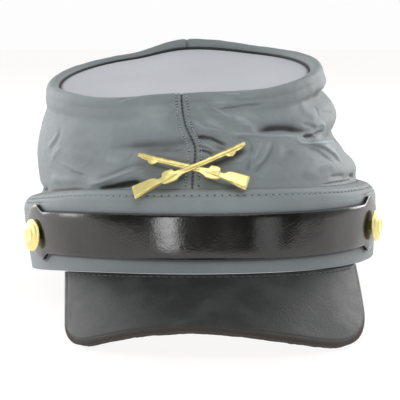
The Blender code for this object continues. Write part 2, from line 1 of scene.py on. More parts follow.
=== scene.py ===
"""The looks of a leather kepi, laid out as an add-on and run as a script.

The pieces are built in the hat's own frame (metres, front to -Y, the band's bottom edge at z = 0), and one
matrix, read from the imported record's mount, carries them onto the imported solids."""

import json
import math

import bmesh
import bpy
import numpy as np
from mathutils import Matrix, Vector, noise


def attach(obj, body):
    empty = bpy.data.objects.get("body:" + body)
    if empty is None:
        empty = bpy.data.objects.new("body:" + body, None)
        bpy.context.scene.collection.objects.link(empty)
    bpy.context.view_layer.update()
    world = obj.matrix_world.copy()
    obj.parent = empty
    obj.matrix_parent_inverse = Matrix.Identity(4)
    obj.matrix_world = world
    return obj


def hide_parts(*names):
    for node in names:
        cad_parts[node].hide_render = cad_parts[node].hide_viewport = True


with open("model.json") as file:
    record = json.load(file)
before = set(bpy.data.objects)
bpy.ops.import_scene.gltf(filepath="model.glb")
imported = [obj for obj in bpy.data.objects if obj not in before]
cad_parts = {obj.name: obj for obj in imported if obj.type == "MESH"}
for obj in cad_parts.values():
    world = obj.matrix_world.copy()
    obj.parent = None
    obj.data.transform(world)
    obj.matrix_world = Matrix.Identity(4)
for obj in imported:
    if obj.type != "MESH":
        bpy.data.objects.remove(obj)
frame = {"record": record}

bl_info = {
    "name": "Leather kepi",
    "version": (1, 0, 0),
    "blender": (4, 5, 0),
    "location": "3D View > Sidebar > Kepi",
    "description": "Builds a worn leather kepi piece by piece, with its stage",
    "category": "Add Mesh",
}

MILLIMETRE = 0.001

# Where the record's mount lies in the hat's frame
MOUNT_IN_HAT = Vector((0.00324, 0.09801, 0.00000))

# Fits
CLEARANCE = 0.0003

# Hat band
BAND_HALF_WIDTH = 0.0883
BAND_HALF_LENGTH = 0.102
BAND_HEIGHT = 0.0368
BAND_WALL = 0.0022
BAND_TAPER = 0.0024
BAND_TAPER_CURVE = 1.5
BAND_SKEW = 0.003
BAND_SKEW_CURVE = 5
BAND_LEAN = 0.045
SHELF_FRONT = 0.003
SHELF_SIDE = 0.0088
SHELF_LIP = 0.004
BEND_THICKNESS = 1.1 * BAND_WALL
SHELF_THICKNESS = 1.4 * BAND_WALL
STITCHED_EDGE = 0.92
STITCH_GROOVE = 0.00045
SHOULDER_SWELL = 0.00035
SHOULDER_SWELL_AT = 0.955
SIDE_CREASE = 0.0007
SIDE_CREASE_AT = 0.865
CROWN_SHADE_FROM = 0.985
# Spread in degrees of the painted light on the band's front.
LIT_FRONT_SPREAD = 40

# Crown
LEATHER = 0.0015
CROWN_TUCK = 0.008
CROWN_TWIST = math.radians(-5.6)
CROWN_HEIGHT = 0.0545
TOP_SHIFT_X = -0.0084
TOP_SHIFT_Y = -0.016
TOP_TILT = math.radians(16)
TOP_ROLL = math.radians(3.5)
RIM_RADIUS = 0.0685
RIM_WIDTH = 0.0065
RIM_CREST = 0.004
RIM_CREST_ROW = 1.5
RIM_SHADE = 1.87
RIM_WAVE = 0.003
NECK_DEPTH = 0.0012
NECK_AT = 0.85
NECK_SPREAD = 0.075
SLUMP_DEPTH = 0.004
HELD_AT_FOOT = 0.12
HELD_AT_RIM = 0.14
TOP_RECESS = 0.0034
TOP_FOLLOWS_RIM = 0.6
TOP_THICKNESS = 0.0018
TOP_SAG = 0.0015
TOP_LEDGE = 0.0045
SEAM_GAP = 0.00008
SEAM_DEPTH = 0.0009
SEAM_BREADTH = 0.0007
SEAM_STITCHES = 0.0024
SEAM_FOLLOW = 14.0
SEAM_LINE = 0.00042
WELT_DEPTH = 0.00025
WELT_BREADTH = 0.0006
PUCKER_DEPTH = 0.00032
PUCKER_REACH = 0.0048
PUCKER_AT = 0.55
PUCKER_SPREAD = 0.13
RIM_TURN = 0.18
# Painted shade on the rim's inner side where it meets the round top: its run and strength.
RIM_SHADE_RUN = 0.08
RIM_SHADE_STRENGTH = 2
SEAM_ON_RIM = 0.6
FOLDS_HELD_AT_FOOT = 0.025
FOLDS_HELD_AT_RIM = 0.09
TOP_EDGE_DIP = 0.0006
TOP_EDGE_DIP_RUN = 0.03
TOP_EDGE_SHADE = 0.022
CRUMPLE_DEPTH = 0.0003
CRUMPLE_SIZE = 0.013
CRUMPLE_FINE = 0.006
CROWN_DEGREE = RIM_RADIUS * math.radians(1)

# Peak
PEAK_SPAN = math.radians(52)
PEAK_REACH = 0.038
PEAK_SIDE_REACH = 0.0435
PEAK_SLOPE = math.radians(26)
PEAK_SIDE_SLOPE = math.radians(37)
PEAK_DROOP = 0.0012
PEAK_BOW = 0.004
PEAK_BOW_AT = 0.46
PEAK_BOW_SPREAD = 0.4
PEAK_HOLLOW = 0.15
PEAK_CORNER_LEFT = 0.016
PEAK_CORNER_RIGHT = 0.025
PEAK_TOE_IN = math.radians(1.5)
PEAK_THICKNESS = 0.003
PEAK_LIMIT = 0.999
PEAK_STITCH_ROW = 0.945
PEAK_STITCHED = 0.93
TOOLED_LINE_AT = 0.0021
TOOLED_LINE_DEPTH = 0.0003
TOOLED_LINE_BREADTH = 0.0004
EDGE_FALL = 0.0007
EDGE_FALL_RUN = 0.0005
CUT_EDGE = 0.0019

# Chin strap and buttons
STRAP_WIDTH = 0.0192
STRAP_THICKNESS = 0.002
STRAP_HEIGHT = 0.0158
STRAP_RISE = 0.002
STRAP_TURN = math.radians(-2)
STRAP_FLARE = 0.0065
STRAP_FLARE_WIDTH = 0.0258
STRAP_FLARE_CURVE = 1.6
STRAP_CORNER = 0.004
STRAP_TIP = 0.011
STRAP_TIP_BLUNT = 0.06
STRAP_EDGE_FALL = 0.0003
STRAP_FACE_DROP = 0.0001
STRAP_BACK_LIFT = 0.0002
BUTTON_BEARING = math.radians(62)
BUTTON_HEIGHT = 0.0166
BUTTON_RADIUS = 0.0075
BUTTON_DOME = 0.0025
BUTTON_STAND = 0.0014
BUTTON_DOME_SHARE = 0.75
BUTTON_RING = 0.16
BUTTON_RING_AT = 0.42
BUTTON_RING_SPREAD = 0.09
BUTTON_TURN_LEFT = math.radians(6.5)
BUTTON_TURN_RIGHT = math.radians(1)
SHANK_RADIUS = 0.0024
SHANK_FOOT = 0.0006
DOME_FOOT = 0.0006

# Badge
BADGE_LENGTH = 0.052
BADGE_CROSSING = math.radians(19.6)
BADGE_ROLL = math.radians(5)
BADGE_SHEAR = 0.27
BADGE_RISE = 0.0102
BADGE_SIDE = 0.0004
BADGE_THICKNESS = 0.0014
BADGE_LIFT = 0.5
BADGE_STAND = 0.0022
BADGE_LEAN = 0.11
BADGE_BELLY_AT = 0.48
BADGE_BELLY_SPREAD = 0.5
POST_RADIUS = 0.0011
POST_SPACING = 0.008
POST_ENDS = (0.0005, -0.0034)

# Along a rifle, as shares of its length from its middle
LOCK_AT = -0.19
STOCK_LINE_TO = -0.12
STAINED_FROM = -0.1
BARREL_FROM = -0.09
BOSS_AT = 0.345
PARTING_TO = 0.46
STAIN_SIZE = 0.0016

# Roundness of each piece's edges
BAND_ROUND = 0.0004
PEAK_ROUND = 0.00035
STRAP_ROUND = 0.0003
BADGE_ROUND = 0.00012

# Stitches
HOLE_RADIUS = 0.00036
HOLE_RISE = 0.00004
HOLE_FLATNESS = 0.28
HOLE_HALF_LENGTH = 0.0003
STITCH_INSET = 0.14
STITCH_FLATNESS = 0.8
STRAY_SIZE = 0.0013
SEAM_SEWN_FROM = 0.03
SEAM_SEWN_TO = 1.45

# Camera, in the hat's frame
CAMERA_SENSOR = 36.0
CAMERA_LENS = 114.84
CAMERA_YAW = math.radians(-4)
CAMERA_DISTANCE = 0.65
CAMERA_HEIGHT = 0.046
CAMERA_PITCH = math.radians(1.46)
CAMERA_ROLL = math.radians(0.2)
FLOOR_SIDE = 3.0
FLOOR_FRONT = -0.3
FLOOR_BACK = 2.5
FLOOR_GLOW = 0.92

# Light tent: brightness overhead, at the camera's side and as the camera sees it, and where it has dimmed
TENT_LEVEL = 0.37
TENT_FRONT_LEVEL = 0.03
TENT_SEEN_LEVEL = 0.983
TENT_DIM_BY = -0.55

# Dents and waves of each leather, as layers of a size and depth in metres and a seed
TOP_DENTS = ((0.03, 0.0005, 0), (0.012, 0.00012, 1))
BAND_DENTS = ((0.024, 0.00028, 0), (0.007, 0.00007, 2))
PEAK_DENTS = ((0.028, 0.0007, 3), (0.009, 0.00012, 4))
PEAK_RAW_EDGE = ((0.0022, 0.0001, 5), (0.012, 0.00008, 6))
PEAK_EDGE_WAVES = ((0.006, 0.0001, 7),)
STRAP_WAVES = ((0.014, 0.00016, 8), (0.0035, 0.00003, 9))

# Lines of the band's outer face: height, and how far they have drawn in across the shelf, as shares.
BAND_SHOULDER = (
    ("widest line", 0.80, 0.00),
    ("shoulder", 0.87, 0.06),
    ("stitched edge", 0.92, 0.20),
    ("top of the bend", 0.97, 0.55),
    ("shelf at the crown", 1.00, 1.00),
)

# Rise of the rim above its plane at crown bearings in degrees, as a share of RIM_WAVE.
RIM_RISES = (
    ("front seam", 0, 0.90),
    ("front right", 45, -0.05),
    ("right", 90, 0.05),
    ("back right", 140, -0.30),
    ("back seam", 180, 0.90),
    ("back left", 209, -1.00),
    ("left", 270, -1.12),
    ("front left", 316, -0.45),
)

# Soft bulges of the crown's wall: crown bearing and spread in degrees, height and spread as shares of the
# wall's height, and the push outwards as a share of SLUMP_DEPTH.
CROWN_SLUMPS = (
    ("front belly", 2, 0.48, 42, 0.26, 1.00),
    ("left side belly", -84, 0.44, 36, 0.30, 0.70),
    ("right side pinch", 86, 0.43, 22, 0.13, -1.25),
    ("right side foot", 80, 0.14, 30, 0.10, 0.40),
    ("right side brow", 84, 0.62, 26, 0.09, 0.15),
    ("right side neck", 84, 0.85, 32, 0.085, -0.90),
    ("back belly", 176, 0.34, 52, 0.22, 0.80),
)

# Folds of the crown's wall: a line of points, as the crown bearing in degrees and the share of the wall's
# height, where a share over 1 lies on the rim's turn, the rise in millimetres, the breadth in millimetres
# above and below a line that runs to the right, the form, from 2 for a soft roll towards 1 for a sharp
# crease, and the tone painted there, mostly painted light and shade with a little wear, from -1 for the
# darkest painted shade, in creases and under the badge, to 1 for a painted highlight on a ridge.
CROWN_FOLDS = (
    (
        "left cross hollow",
        ((-26, 0.51), (-17.2, 0.51), (-11.3, 0.51), (-5.9, 0.51), (-1.1, 0.52)),
        -2.5, 6, 3, 1.7, 0,
    ),
    (
        "left cross shade",
        ((-19, 0.52), (-11.6, 0.52), (-6, 0.52), (-1, 0.54), (4, 0.58)),
        -0.5, 3.4, 2.2, 1.8, -0.42,
    ),
    ("left cross shade end", ((-29.5, 0.49), (-23.4, 0.51), (-15, 0.52)), -0.3, 2.4, 1.6, 1.8, -0.26),
    (
        "left cross shade wide",
        ((-22, 0.49), (-14, 0.48), (-7, 0.48), (0, 0.49), (5, 0.48)),
        0, 4, 3, 2, -0.26,
    ),
    ("shade below the hollow", ((-15.2, 0.44), (-8.9, 0.44), (-0.5, 0.44)), 0, 1.5, 1.5, 2, -0.3),
    ("left upper sheen", ((-26, 0.96), (-15, 0.97), (-8, 0.94), (-2, 0.88)), 0.5, 2.5, 5, 2, 0.2),
    ("left brow swell", ((-24.1, 0.78), (-13.7, 0.81), (-4.2, 0.81)), 0.9, 5, 6, 2, 0.1),
    ("rim pleat ridge", ((-25.5, 1.02), (-21, 1.05), (-13.5, 1.07)), 0.5, 0.5, 0.8, 1.6, 0.28),
    ("rim pleat", ((-25, 1.05), (-21, 1.075), (-16.5, 1.09)), -0.35, 0.5, 0.45, 1.5, -0.2),
    ("left pale facet", ((-28.5, 0.36), (-24, 0.34), (-20.5, 0.35)), 0.5, 2, 2.2, 2.4, 0.24),
    ("left facet edge", ((-20.5, 0.28), (-19.5, 0.35), (-17.3, 0.43)), -0.4, 0.75, 0.75, 1.6, -0.15),
    (
        "diagonal ridge",
        ((-36.5, 0.04), (-33.5, 0.07), (-29, 0.1), (-23.5, 0.16), (-18.5, 0.22), (-14, 0.26)),
        1.7, 4.5, 1.8, 1.8, 0,
    ),
    (
        "diagonal ridge light",
        ((-36, 0.05), (-30.5, 0.08), (-24.5, 0.15), (-19.5, 0.21), (-15.5, 0.25)),
        0.25, 0.5, 0.5, 1.6, 0.34,
    ),
    (
        "shade above the diagonal",
        ((-33.5, 0.11), (-27.5, 0.16), (-21.5, 0.24), (-17, 0.29), (-12.4, 0.32)),
        -0.5, 1.8, 1.2, 1.8, -0.45,
    ),
    (
        "second diagonal light",
        ((-27.5, 0.05), (-22.5, 0.12), (-17.1, 0.19), (-12.5, 0.24)),
        0.3, 0.8, 1.1, 1.8, 0.2,
    ),
    (
        "wedge hollow",
        ((-32, 0), (-26.5, 0.02), (-22.1, 0.04), (-18.6, 0.07), (-13.3, 0.07)),
        -3.2, 2.2, 1.5, 1.6, -0.15,
    ),
    (
        "wedge shade",
        ((-32.5, 0.01), (-28.5, 0.028), (-24.5, 0.05), (-21, 0.065), (-18, 0.065)),
        0, 0.9, 1.6, 2.2, -1.3,
    ),
    ("wedge shade top", ((-26, 0.04), (-22.1, 0.07), (-18.6, 0.09), (-16.6, 0.09)), 0, 1.1, 2, 2.6, -0.9),
    (
        "shade under the butt",
        ((-15, 0.03), (-10, 0.075), (-5, 0.125), (0, 0.16)),
        -0.6, 1.5, 2.6, 2, -0.6,
    ),
    (
        "shade under the right barrel",
        ((20, 0.47), (14.8, 0.385), (9.6, 0.31), (3, 0.235)),
        -0.3, 2.2, 1.4, 2, -0.75,
    ),
    (
        "shade under the left barrel",
        ((-14.5, 0.325), (-9.4, 0.26), (-5.5, 0.21), (0, 0.16)),
        0, 1.4, 1.2, 2, -0.6,
    ),
    (
        "shade under the right stock",
        ((2, 0.16), (6, 0.07), (10, 0.02), (15, 0.015)),
        0, 1.6, 1.3, 2, -0.6,
    ),
    ("shade by the seam", ((1.7, 0.76), (2.4, 0.66), (4.5, 0.585), (7, 0.54)), -0.3, 1.2, 1.2, 1.8, -0.4),
    ("crease above the ring", ((8.3, 0.48), (10.5, 0.45), (12.5, 0.39)), -0.5, 0.8, 0.8, 1.5, -0.45),
    # A fold with a painted highlight along it.
    (
        "fold right of the seam with painted highlight",
        ((6.2, 0.81), (10.3, 0.73), (14.9, 0.64), (19, 0.58)),
        0.5, 1.1, 1.3, 1.8, 0.22,
    ),
    # A painted highlight on the right brow.
    ("right brow with painted highlight", ((41, 0.87), (49, 0.82), (55, 0.74)), 0.4, 3, 3, 2.2, 0.16),
    ("left short crease", ((-45.5, 0.22), (-41, 0.2), (-37, 0.17)), -0.4, 0.7, 0.8, 1.8, -0.2),
    (
        "left short crease light",
        ((-51.5, 0.32), (-45.5, 0.27), (-39.5, 0.22), (-35.5, 0.16)),
        0.4, 1.5, 0.8, 2, 0.1,
    ),
    ("left foot swell", ((-60, 0.15), (-48.5, 0.12), (-39, 0.11)), 0.6, 2.5, 2.5, 2, 0.06),
    ("right neck fill", ((64, 0.91), (78, 0.9), (94, 0.88)), 1.7, 3, 3.4, 2, 0),
    ("left flank streak", ((-54, 0.68), (-57, 0.57), (-61.5, 0.47)), 0.5, 1, 1.3, 1.8, 0.22),
    ("left flank dent", ((-53.5, 0.74), (-54, 0.58), (-58.5, 0.45)), -0.5, 1.2, 1.8, 1.8, -0.1),
    ("left flank facet", ((-50, 0.52), (-53.5, 0.44), (-57.5, 0.35)), 0.4, 1.5, 1.5, 2, 0.1),
    ("left neck shade", ((-51, 0.97), (-40, 1), (-28, 0.99)), -0.4, 1.1, 3, 2, -0.1),
    (
        "first pucker",
        ((2.7, 0.58), (5.5, 0.59), (8, 0.57), (10.4, 0.52), (12.6, 0.47)),
        -1.7, 1.3, 1.1, 1.6, -1,
    ),
    (
        "lower seam pucker",
        ((2.8, 0.42), (4.9, 0.43), (6.2, 0.41), (7.4, 0.37)),
        -1.1, 0.8, 0.8, 1.5, -0.9,
    ),
    ("loop light", ((2.9, 0.49), (5.3, 0.51), (7, 0.47), (8.6, 0.41)), 0.7, 0.75, 0.8, 1.8, 0.3),
    ("loop shade", ((3.2, 0.46), (5.6, 0.47), (7.3, 0.43)), -0.4, 0.45, 0.45, 1.5, -0.4),
    ("second loop light", ((7.7, 0.53), (9.5, 0.5), (11.1, 0.45)), 0.4, 0.45, 0.6, 1.8, 0.26),
    ("left side loop", ((-1.2, 0.48), (-3.4, 0.46), (-5.7, 0.44)), 0.3, 0.6, 0.6, 1.8, 0.14),
    (
        "pucker ridge",
        ((2.3, 0.83), (4.5, 0.75), (6.7, 0.69), (10, 0.67), (13.3, 0.61)),
        0.9, 1.1, 0.8, 1.7, 0.3,
    ),
    (
        "shade below the pucker ridge",
        ((2.1, 0.73), (4.6, 0.66), (8.5, 0.62), (13.1, 0.55)),
        -0.5, 0.9, 1.2, 1.8, -0.26,
    ),
    (
        "brow ridge",
        ((4.7, 1), (6.5, 0.93), (8.3, 0.83), (10.9, 0.75), (14.4, 0.69)),
        0.8, 1.8, 1.8, 1.9, 0.16,
    ),
    ("brow line", ((9.8, 0.98), (12.1, 0.91), (14.9, 0.86), (18.2, 0.81)), 0.6, 0.5, 0.65, 1.6, 0.28),
    ("brow crease", ((8.7, 1), (10.4, 0.96), (12.1, 0.93)), -0.45, 0.4, 0.45, 1.4, -0.34),
    ("brow facet", ((10.4, 1), (15.4, 0.995), (21.3, 1)), 0.5, 1.6, 1.6, 2.4, 0.24),
    ("brow valley", ((13.2, 0.9), (18.7, 0.92), (24.4, 0.94), (32.5, 0.94)), -1.1, 0.8, 1.8, 1.5, -0.4),
    ("lower brow facet", ((17.7, 0.82), (21.4, 0.78), (22.5, 0.68)), 0.7, 1.8, 2, 2.2, 0.24),
    ("brow hook", ((19.4, 0.73), (20.4, 0.7), (20, 0.65)), -0.4, 0.4, 0.45, 1.5, -0.28),
    ("rim crease light", ((16.5, 1.05), (19.7, 1.05), (23.6, 1.05)), 0.35, 0.35, 0.4, 1.6, 0.45),
    ("rim crease", ((21.3, 1.08), (23.9, 1.09)), -0.5, 0.35, 0.35, 1.5, -0.5),
    ("rim lower light", ((21.3, 1.02), (26.9, 1.02), (32, 1.03)), 0.3, 0.4, 0.6, 1.6, 0.16),
    (
        "cross crease",
        ((22.5, 0.64), (28, 0.63), (32.5, 0.63), (38.5, 0.61), (45, 0.59)),
        -3.0, 5.0, 1.6, 1.6, 0,
    ),
    (
        "cross shade",
        ((23.5, 0.64), (28, 0.64), (32, 0.65), (37, 0.64), (42, 0.61), (49.5, 0.58)),
        -0.3, 2.1, 0.8, 2, -0.72,
    ),
    ("cross shade deep", ((28, 0.67), (36.5, 0.665), (44, 0.645)), 0, 3.8, 2.6, 2, -0.5),
    ("upper shade", ((30, 0.78), (40.5, 0.76), (47, 0.71)), 0, 2.5, 2, 2, -0.12),
    (
        "cross edge light",
        ((13.3, 0.62), (19.1, 0.62), (25.5, 0.6), (31, 0.59), (38, 0.58), (42.5, 0.58)),
        1, 0.45, 1.3, 1.8, 0.36,
    ),
    (
        "muzzle ring",
        ((15.5, 0.52), (16.4, 0.56), (18.2, 0.57), (20.2, 0.54), (20.6, 0.46), (19.5, 0.35)),
        -0.6, 0.9, 0.9, 1.8, -0.34,
    ),
    ("muzzle ring foot", ((19.5, 0.35), (18, 0.25), (16.9, 0.16)), -0.7, 1.1, 1.1, 1.8, -0.46),
    ("inner ring light", ((11.5, 0.29), (15.5, 0.31), (17.6, 0.38)), 0.5, 0.7, 0.7, 1.8, 0.2),
    ("first s fold", ((24.1, 0.54), (22.6, 0.45), (20.5, 0.36), (18.5, 0.26)), 0.9, 0.8, 0.75, 1.7, 0.32),
    ("first s valley", ((22.6, 0.49), (21.6, 0.42)), -0.3, 0.35, 0.35, 1.5, -0.2),
    ("second s fold", ((26.5, 0.52), (25, 0.43), (23, 0.33), (20, 0.24)), 0.9, 0.95, 0.8, 1.7, 0.26),
    (
        "second s valley",
        ((29, 0.54), (27.5, 0.42), (24.5, 0.31), (21, 0.21), (17.9, 0.14)),
        -1, 1.1, 0.95, 1.6, -0.4,
    ),
    ("third s fold", ((31, 0.5), (28.5, 0.36), (24, 0.22), (19.9, 0.09)), 0.9, 2.2, 1.8, 2, 0.12),
    ("lower valley", ((35, 0.41), (31.5, 0.31), (27, 0.21)), -0.6, 1.8, 1.8, 2, -0.1),
    ("pinch", ((43, 0.54), (48.5, 0.53), (50, 0.54)), -1.9, 0.95, 0.95, 1.6, -0.5),
    ("pinch tail", ((49.5, 0.54), (53.5, 0.55), (58, 0.55)), -1.3, 0.7, 0.7, 1.6, -0.45),
    (
        "pinch lip",
        ((40.5, 0.57), (39.5, 0.53), (40.5, 0.48), (43.5, 0.47), (50, 0.46), (83, 0.39)),
        1.5, 0.75, 0.95, 1.8, 0.62,
    ),
    (
        "pinch inner line",
        ((41.5, 0.5), (44.5, 0.48), (50, 0.48), (60, 0.46)),
        -0.5, 0.35, 0.35, 1.5, -0.6,
    ),
    ("pinch light", ((46, 0.57), (49.5, 0.56)), 0.5, 0.35, 0.4, 1.8, 0.45),
    ("pinch line", ((51, 0.48), (64.5, 0.44), (80, 0.4), (95, 0.37)), -2.2, 4.5, 1.3, 1.4, -0.1),
    ("right cheek", ((50.5, 0.63), (56.5, 0.64), (61, 0.58)), 0.8, 1.6, 1.6, 2.2, 0.22),
    ("right cheek shade", ((45.5, 0.67), (49, 0.65), (52.5, 0.6)), -0.5, 1.1, 1.1, 1.8, -0.3),
    ("right brow swell", ((50.5, 0.85), (54, 0.78), (56, 0.69)), 0.8, 3.5, 3.5, 2.2, 0.12),
    ("right brow line", ((62, 0.8), (59.5, 0.74), (57.5, 0.69)), -0.5, 0.55, 0.55, 1.5, -0.22),
    ("right brow fold", ((60.5, 0.73), (66, 0.71), (74, 0.67)), -0.6, 0.65, 0.8, 1.5, -0.18),
    ("cheek facet", ((46, 0.47), (54, 0.4), (59, 0.31), (61.5, 0.2)), 1.3, 3.5, 0.8, 2.4, 0.42),
    ("cheek facet shade", ((41.5, 0.43), (48, 0.38), (53, 0.28), (56.5, 0.18)), -0.6, 0.7, 3, 2.2, -0.24),
    (
        "foot ridge",
        ((36.5, 0.09), (39, 0.17), (43.5, 0.22), (50.5, 0.24), (59, 0.2)),
        1.1, 1.4, 3, 2, 0.2,
    ),
    ("foot dent", ((49.5, 0.09), (55, 0.09), (60, 0.09)), -0.9, 1.1, 1.1, 1.8, -0.3),
    ("foot corner dent", ((64.5, 0.07), (72, 0.05)), -1.3, 1.1, 1.1, 1.8, -0.55),
    ("foot corner light", ((57, 0.03), (64, 0.04), (69, 0.02)), 0.5, 0.65, 0.65, 1.8, 0.35),
    ("foot wrinkle", ((44, 0.02), (50.5, 0.025), (59, 0.03), (68, 0.035)), -0.7, 0.4, 0.4, 1.5, -0.6),
    ("second foot wrinkle", ((37, 0.01), (43, 0.015), (50.5, 0.02)), -0.3, 0.35, 0.35, 1.5, -0.22),
    # Painted highlights on the brow and left of the seam, and painted shade on the left front.
    ("brow with painted highlight", ((8, 0.92), (19, 0.86), (30, 0.8)), 0, 5, 5, 2, 0.2),
    ("painted highlight left of the seam", ((-22, 0.76), (-12, 0.78), (-3, 0.76)), 0, 6, 6, 2, 0.12),
    ("painted shade on the left front", ((-46, 0.78), (-40, 0.48), (-34, 0.2)), 0, 9, 9, 2, -0.28),
    ("left tuck", ((-70, 0.04), (-80, 0.06), (-92, 0.10)), -1.6, 2, 1.6, 1.4, -0.3),
    ("left corner tuck", ((-63, 0.03), (-70, 0.02)), -0.8, 1.4, 1.4, 1.6, -0.9),
    ("left foot line", ((-62, 0.015), (-48, 0.012), (-36, 0.012)), 0, 1, 0.8, 2, -0.8),
    ("right side lower fold", ((74, 0.30), (92, 0.24), (110, 0.26)), -1.2, 3.4, 2.6, 1.5, -0.15),
    ("right side upper fold", ((88, 0.70), (104, 0.62), (120, 0.60)), -1.4, 4, 2.8, 1.5, -0.2),
    ("back right drape", ((124, 0.80), (136, 0.56), (150, 0.28)), -2.4, 6, 5, 1.7, -0.15),
    ("back right crease", ((112, 0.46), (130, 0.42), (142, 0.34)), -1.5, 3.6, 2.4, 1.4, -0.2),
    ("back left drape", ((-128, 0.76), (-140, 0.52), (-152, 0.26)), -2.2, 6, 5, 1.7, -0.15),
    ("back left crease", ((-108, 0.36), (-122, 0.44), (-138, 0.46)), -1.4, 2.6, 3.6, 1.4, -0.2),
    ("back cross fold", ((150, 0.54), (168, 0.50), (186, 0.50), (206, 0.47)), -2, 5, 3.2, 1.4, -0.25),
    ("back foot roll", ((152, 0.20), (176, 0.17), (200, 0.21)), 1.2, 3.6, 4, 2, 0.1),
    ("back brow crease", ((160, 0.80), (172, 0.76), (186, 0.79)), -0.9, 2.6, 2, 1.4, -0.2),
)

# Sideways run of the front seam: share of the wall's height and crown bearing in degrees.
FRONT_SEAM = (
    ("foot", 0.00, -0.8),
    ("under the badge", 0.16, 0.1),
    ("behind the badge", 0.38, 2.0),
    ("below the puckers", 0.48, 2.3),
    ("puckers", 0.55, 1.9),
    ("upper run", 0.70, 0.5),
    ("below the rim", 0.85, 0.1),
    ("rim", 1.00, 0.4),
)

# Side view of one rifle, from butt to muzzle: station, lower and upper line as shares of its length, and
# the thickness as a share of BADGE_THICKNESS.
RIFLE_STATIONS = (
    ("butt plate", -0.500, -0.088, 0.040, 0.90),
    ("toe", -0.485, -0.090, 0.043, 1.00),
    ("heel", -0.430, -0.076, 0.044, 1.00),
    ("comb", -0.340, -0.052, 0.046, 1.05),
    ("comb nose", -0.312, -0.046, 0.040, 1.05),
    ("wrist", -0.285, -0.040, 0.016, 1.00),
    ("guard rear", -0.262, -0.038, 0.016, 1.00),
    ("hammer rear", -0.245, -0.054, 0.022, 1.05),
    ("hammer heel", -0.236, -0.058, 0.054, 1.15),
    ("hammer", -0.205, -0.062, 0.064, 1.20),
    ("hammer front", -0.155, -0.062, 0.058, 1.20),
    ("lock", -0.140, -0.058, 0.030, 1.15),
    ("guard front", -0.120, -0.044, 0.026, 1.10),
    ("breech", -0.080, -0.030, 0.024, 1.05),
    ("forestock", 0.100, -0.026, 0.023, 1.00),
    ("band rear", 0.300, -0.026, 0.022, 1.00),
    ("band heel", 0.318, -0.050, 0.023, 1.15),
    ("band", 0.345, -0.062, 0.023, 1.20),
    ("band front", 0.375, -0.050, 0.023, 1.15),
    ("ramrod", 0.392, -0.032, 0.022, 1.00),
    ("ramrod head", 0.455, -0.030, 0.022, 0.95),
    ("muzzle shoulder", 0.470, -0.020, 0.021, 0.85),
    ("muzzle", 0.500, -0.017, 0.018, 0.85),
)

# A button's outline from its back to its dome, as a share of BUTTON_RADIUS and the height above its back.
BUTTON_RIM = (
    ("back", 0.900, 0.0000),
    ("back edge", 0.985, 0.0002),
    ("widest line", 1.000, 0.0005),
    ("front edge", 0.985, 0.0009),
    ("bead", 0.940, 0.0011),
    ("groove", 0.890, 0.00105),
    ("foot of the dome", 0.850, 0.0012),
)

# Soft lights by name, place, aim, width, height and power in watts.
LIGHTS = (
    ("front_top", (0.17, -0.85, 1.24), (0, 0, 0.05), 1.2, 0.9, 12.9),
    ("left_back", (-0.92, 0.82, 0.50), (0, 0, 0.06), 0.75, 1.2, 11.5),
    ("left_side", (-1.2, 0.15, 0.12), (-0.05, 0, 0.03), 0.4, 0.4, 2.2),
    ("right_back", (0.98, 0.72, 0.50), (0, 0, 0.06), 0.75, 0.85, 10.5),
    ("strap_glint", (-0.60, -1.16, 0.05), (0, -0.09, 0.04), 0.32, 0.7, 4.3),
    ("right_front", (0.80, -1.02, 0.02), (0, -0.09, 0.04), 0.34, 0.5, 0.6),
)

# Mesh counts
PANEL_COLUMNS = 250
FRONT_DENSITY = 0.52
WALL_ROWS = 138
RIM_ROWS = 26
TOP_COLUMNS = 240
TOP_RINGS = 24
TOP_EYE = 0.001
BAND_COLUMNS = 360
BAND_ROWS = 64
PEAK_COLUMNS = 200
STRAP_COLUMNS = 260
RIFLE_COLUMNS = 150
BUTTON_STEPS = 64


class Wire:
    """A shader socket whose sums are written as expressions."""

    def __init__(self, bench, socket):
        self.bench = bench
        self.socket = socket

    def joined(self, operation, first, second):
        return self.bench.add("ShaderNodeMath", {"operation": operation}, {0: first, 1: second})

    def __add__(self, other):
        return self.joined("ADD", self, other)

    def __radd__(self, other):
        return self.joined("ADD", other, self)

    def __sub__(self, other):
        return self.joined("SUBTRACT", self, other)

    def __rsub__(self, other):
        return self.joined("SUBTRACT", other, self)

    def __mul__(self, other):
        return self.joined("MULTIPLY", self, other)

    def __rmul__(self, other):
        return self.joined("MULTIPLY", other, self)

    def between(self, low, high):
        """0 below low, 1 above high and smooth in between."""
        limits = {"Value": self, "From Min": low, "From Max": high}
        return self.bench.add("ShaderNodeMapRange", {"interpolation_type": "SMOOTHSTEP"}, limits)


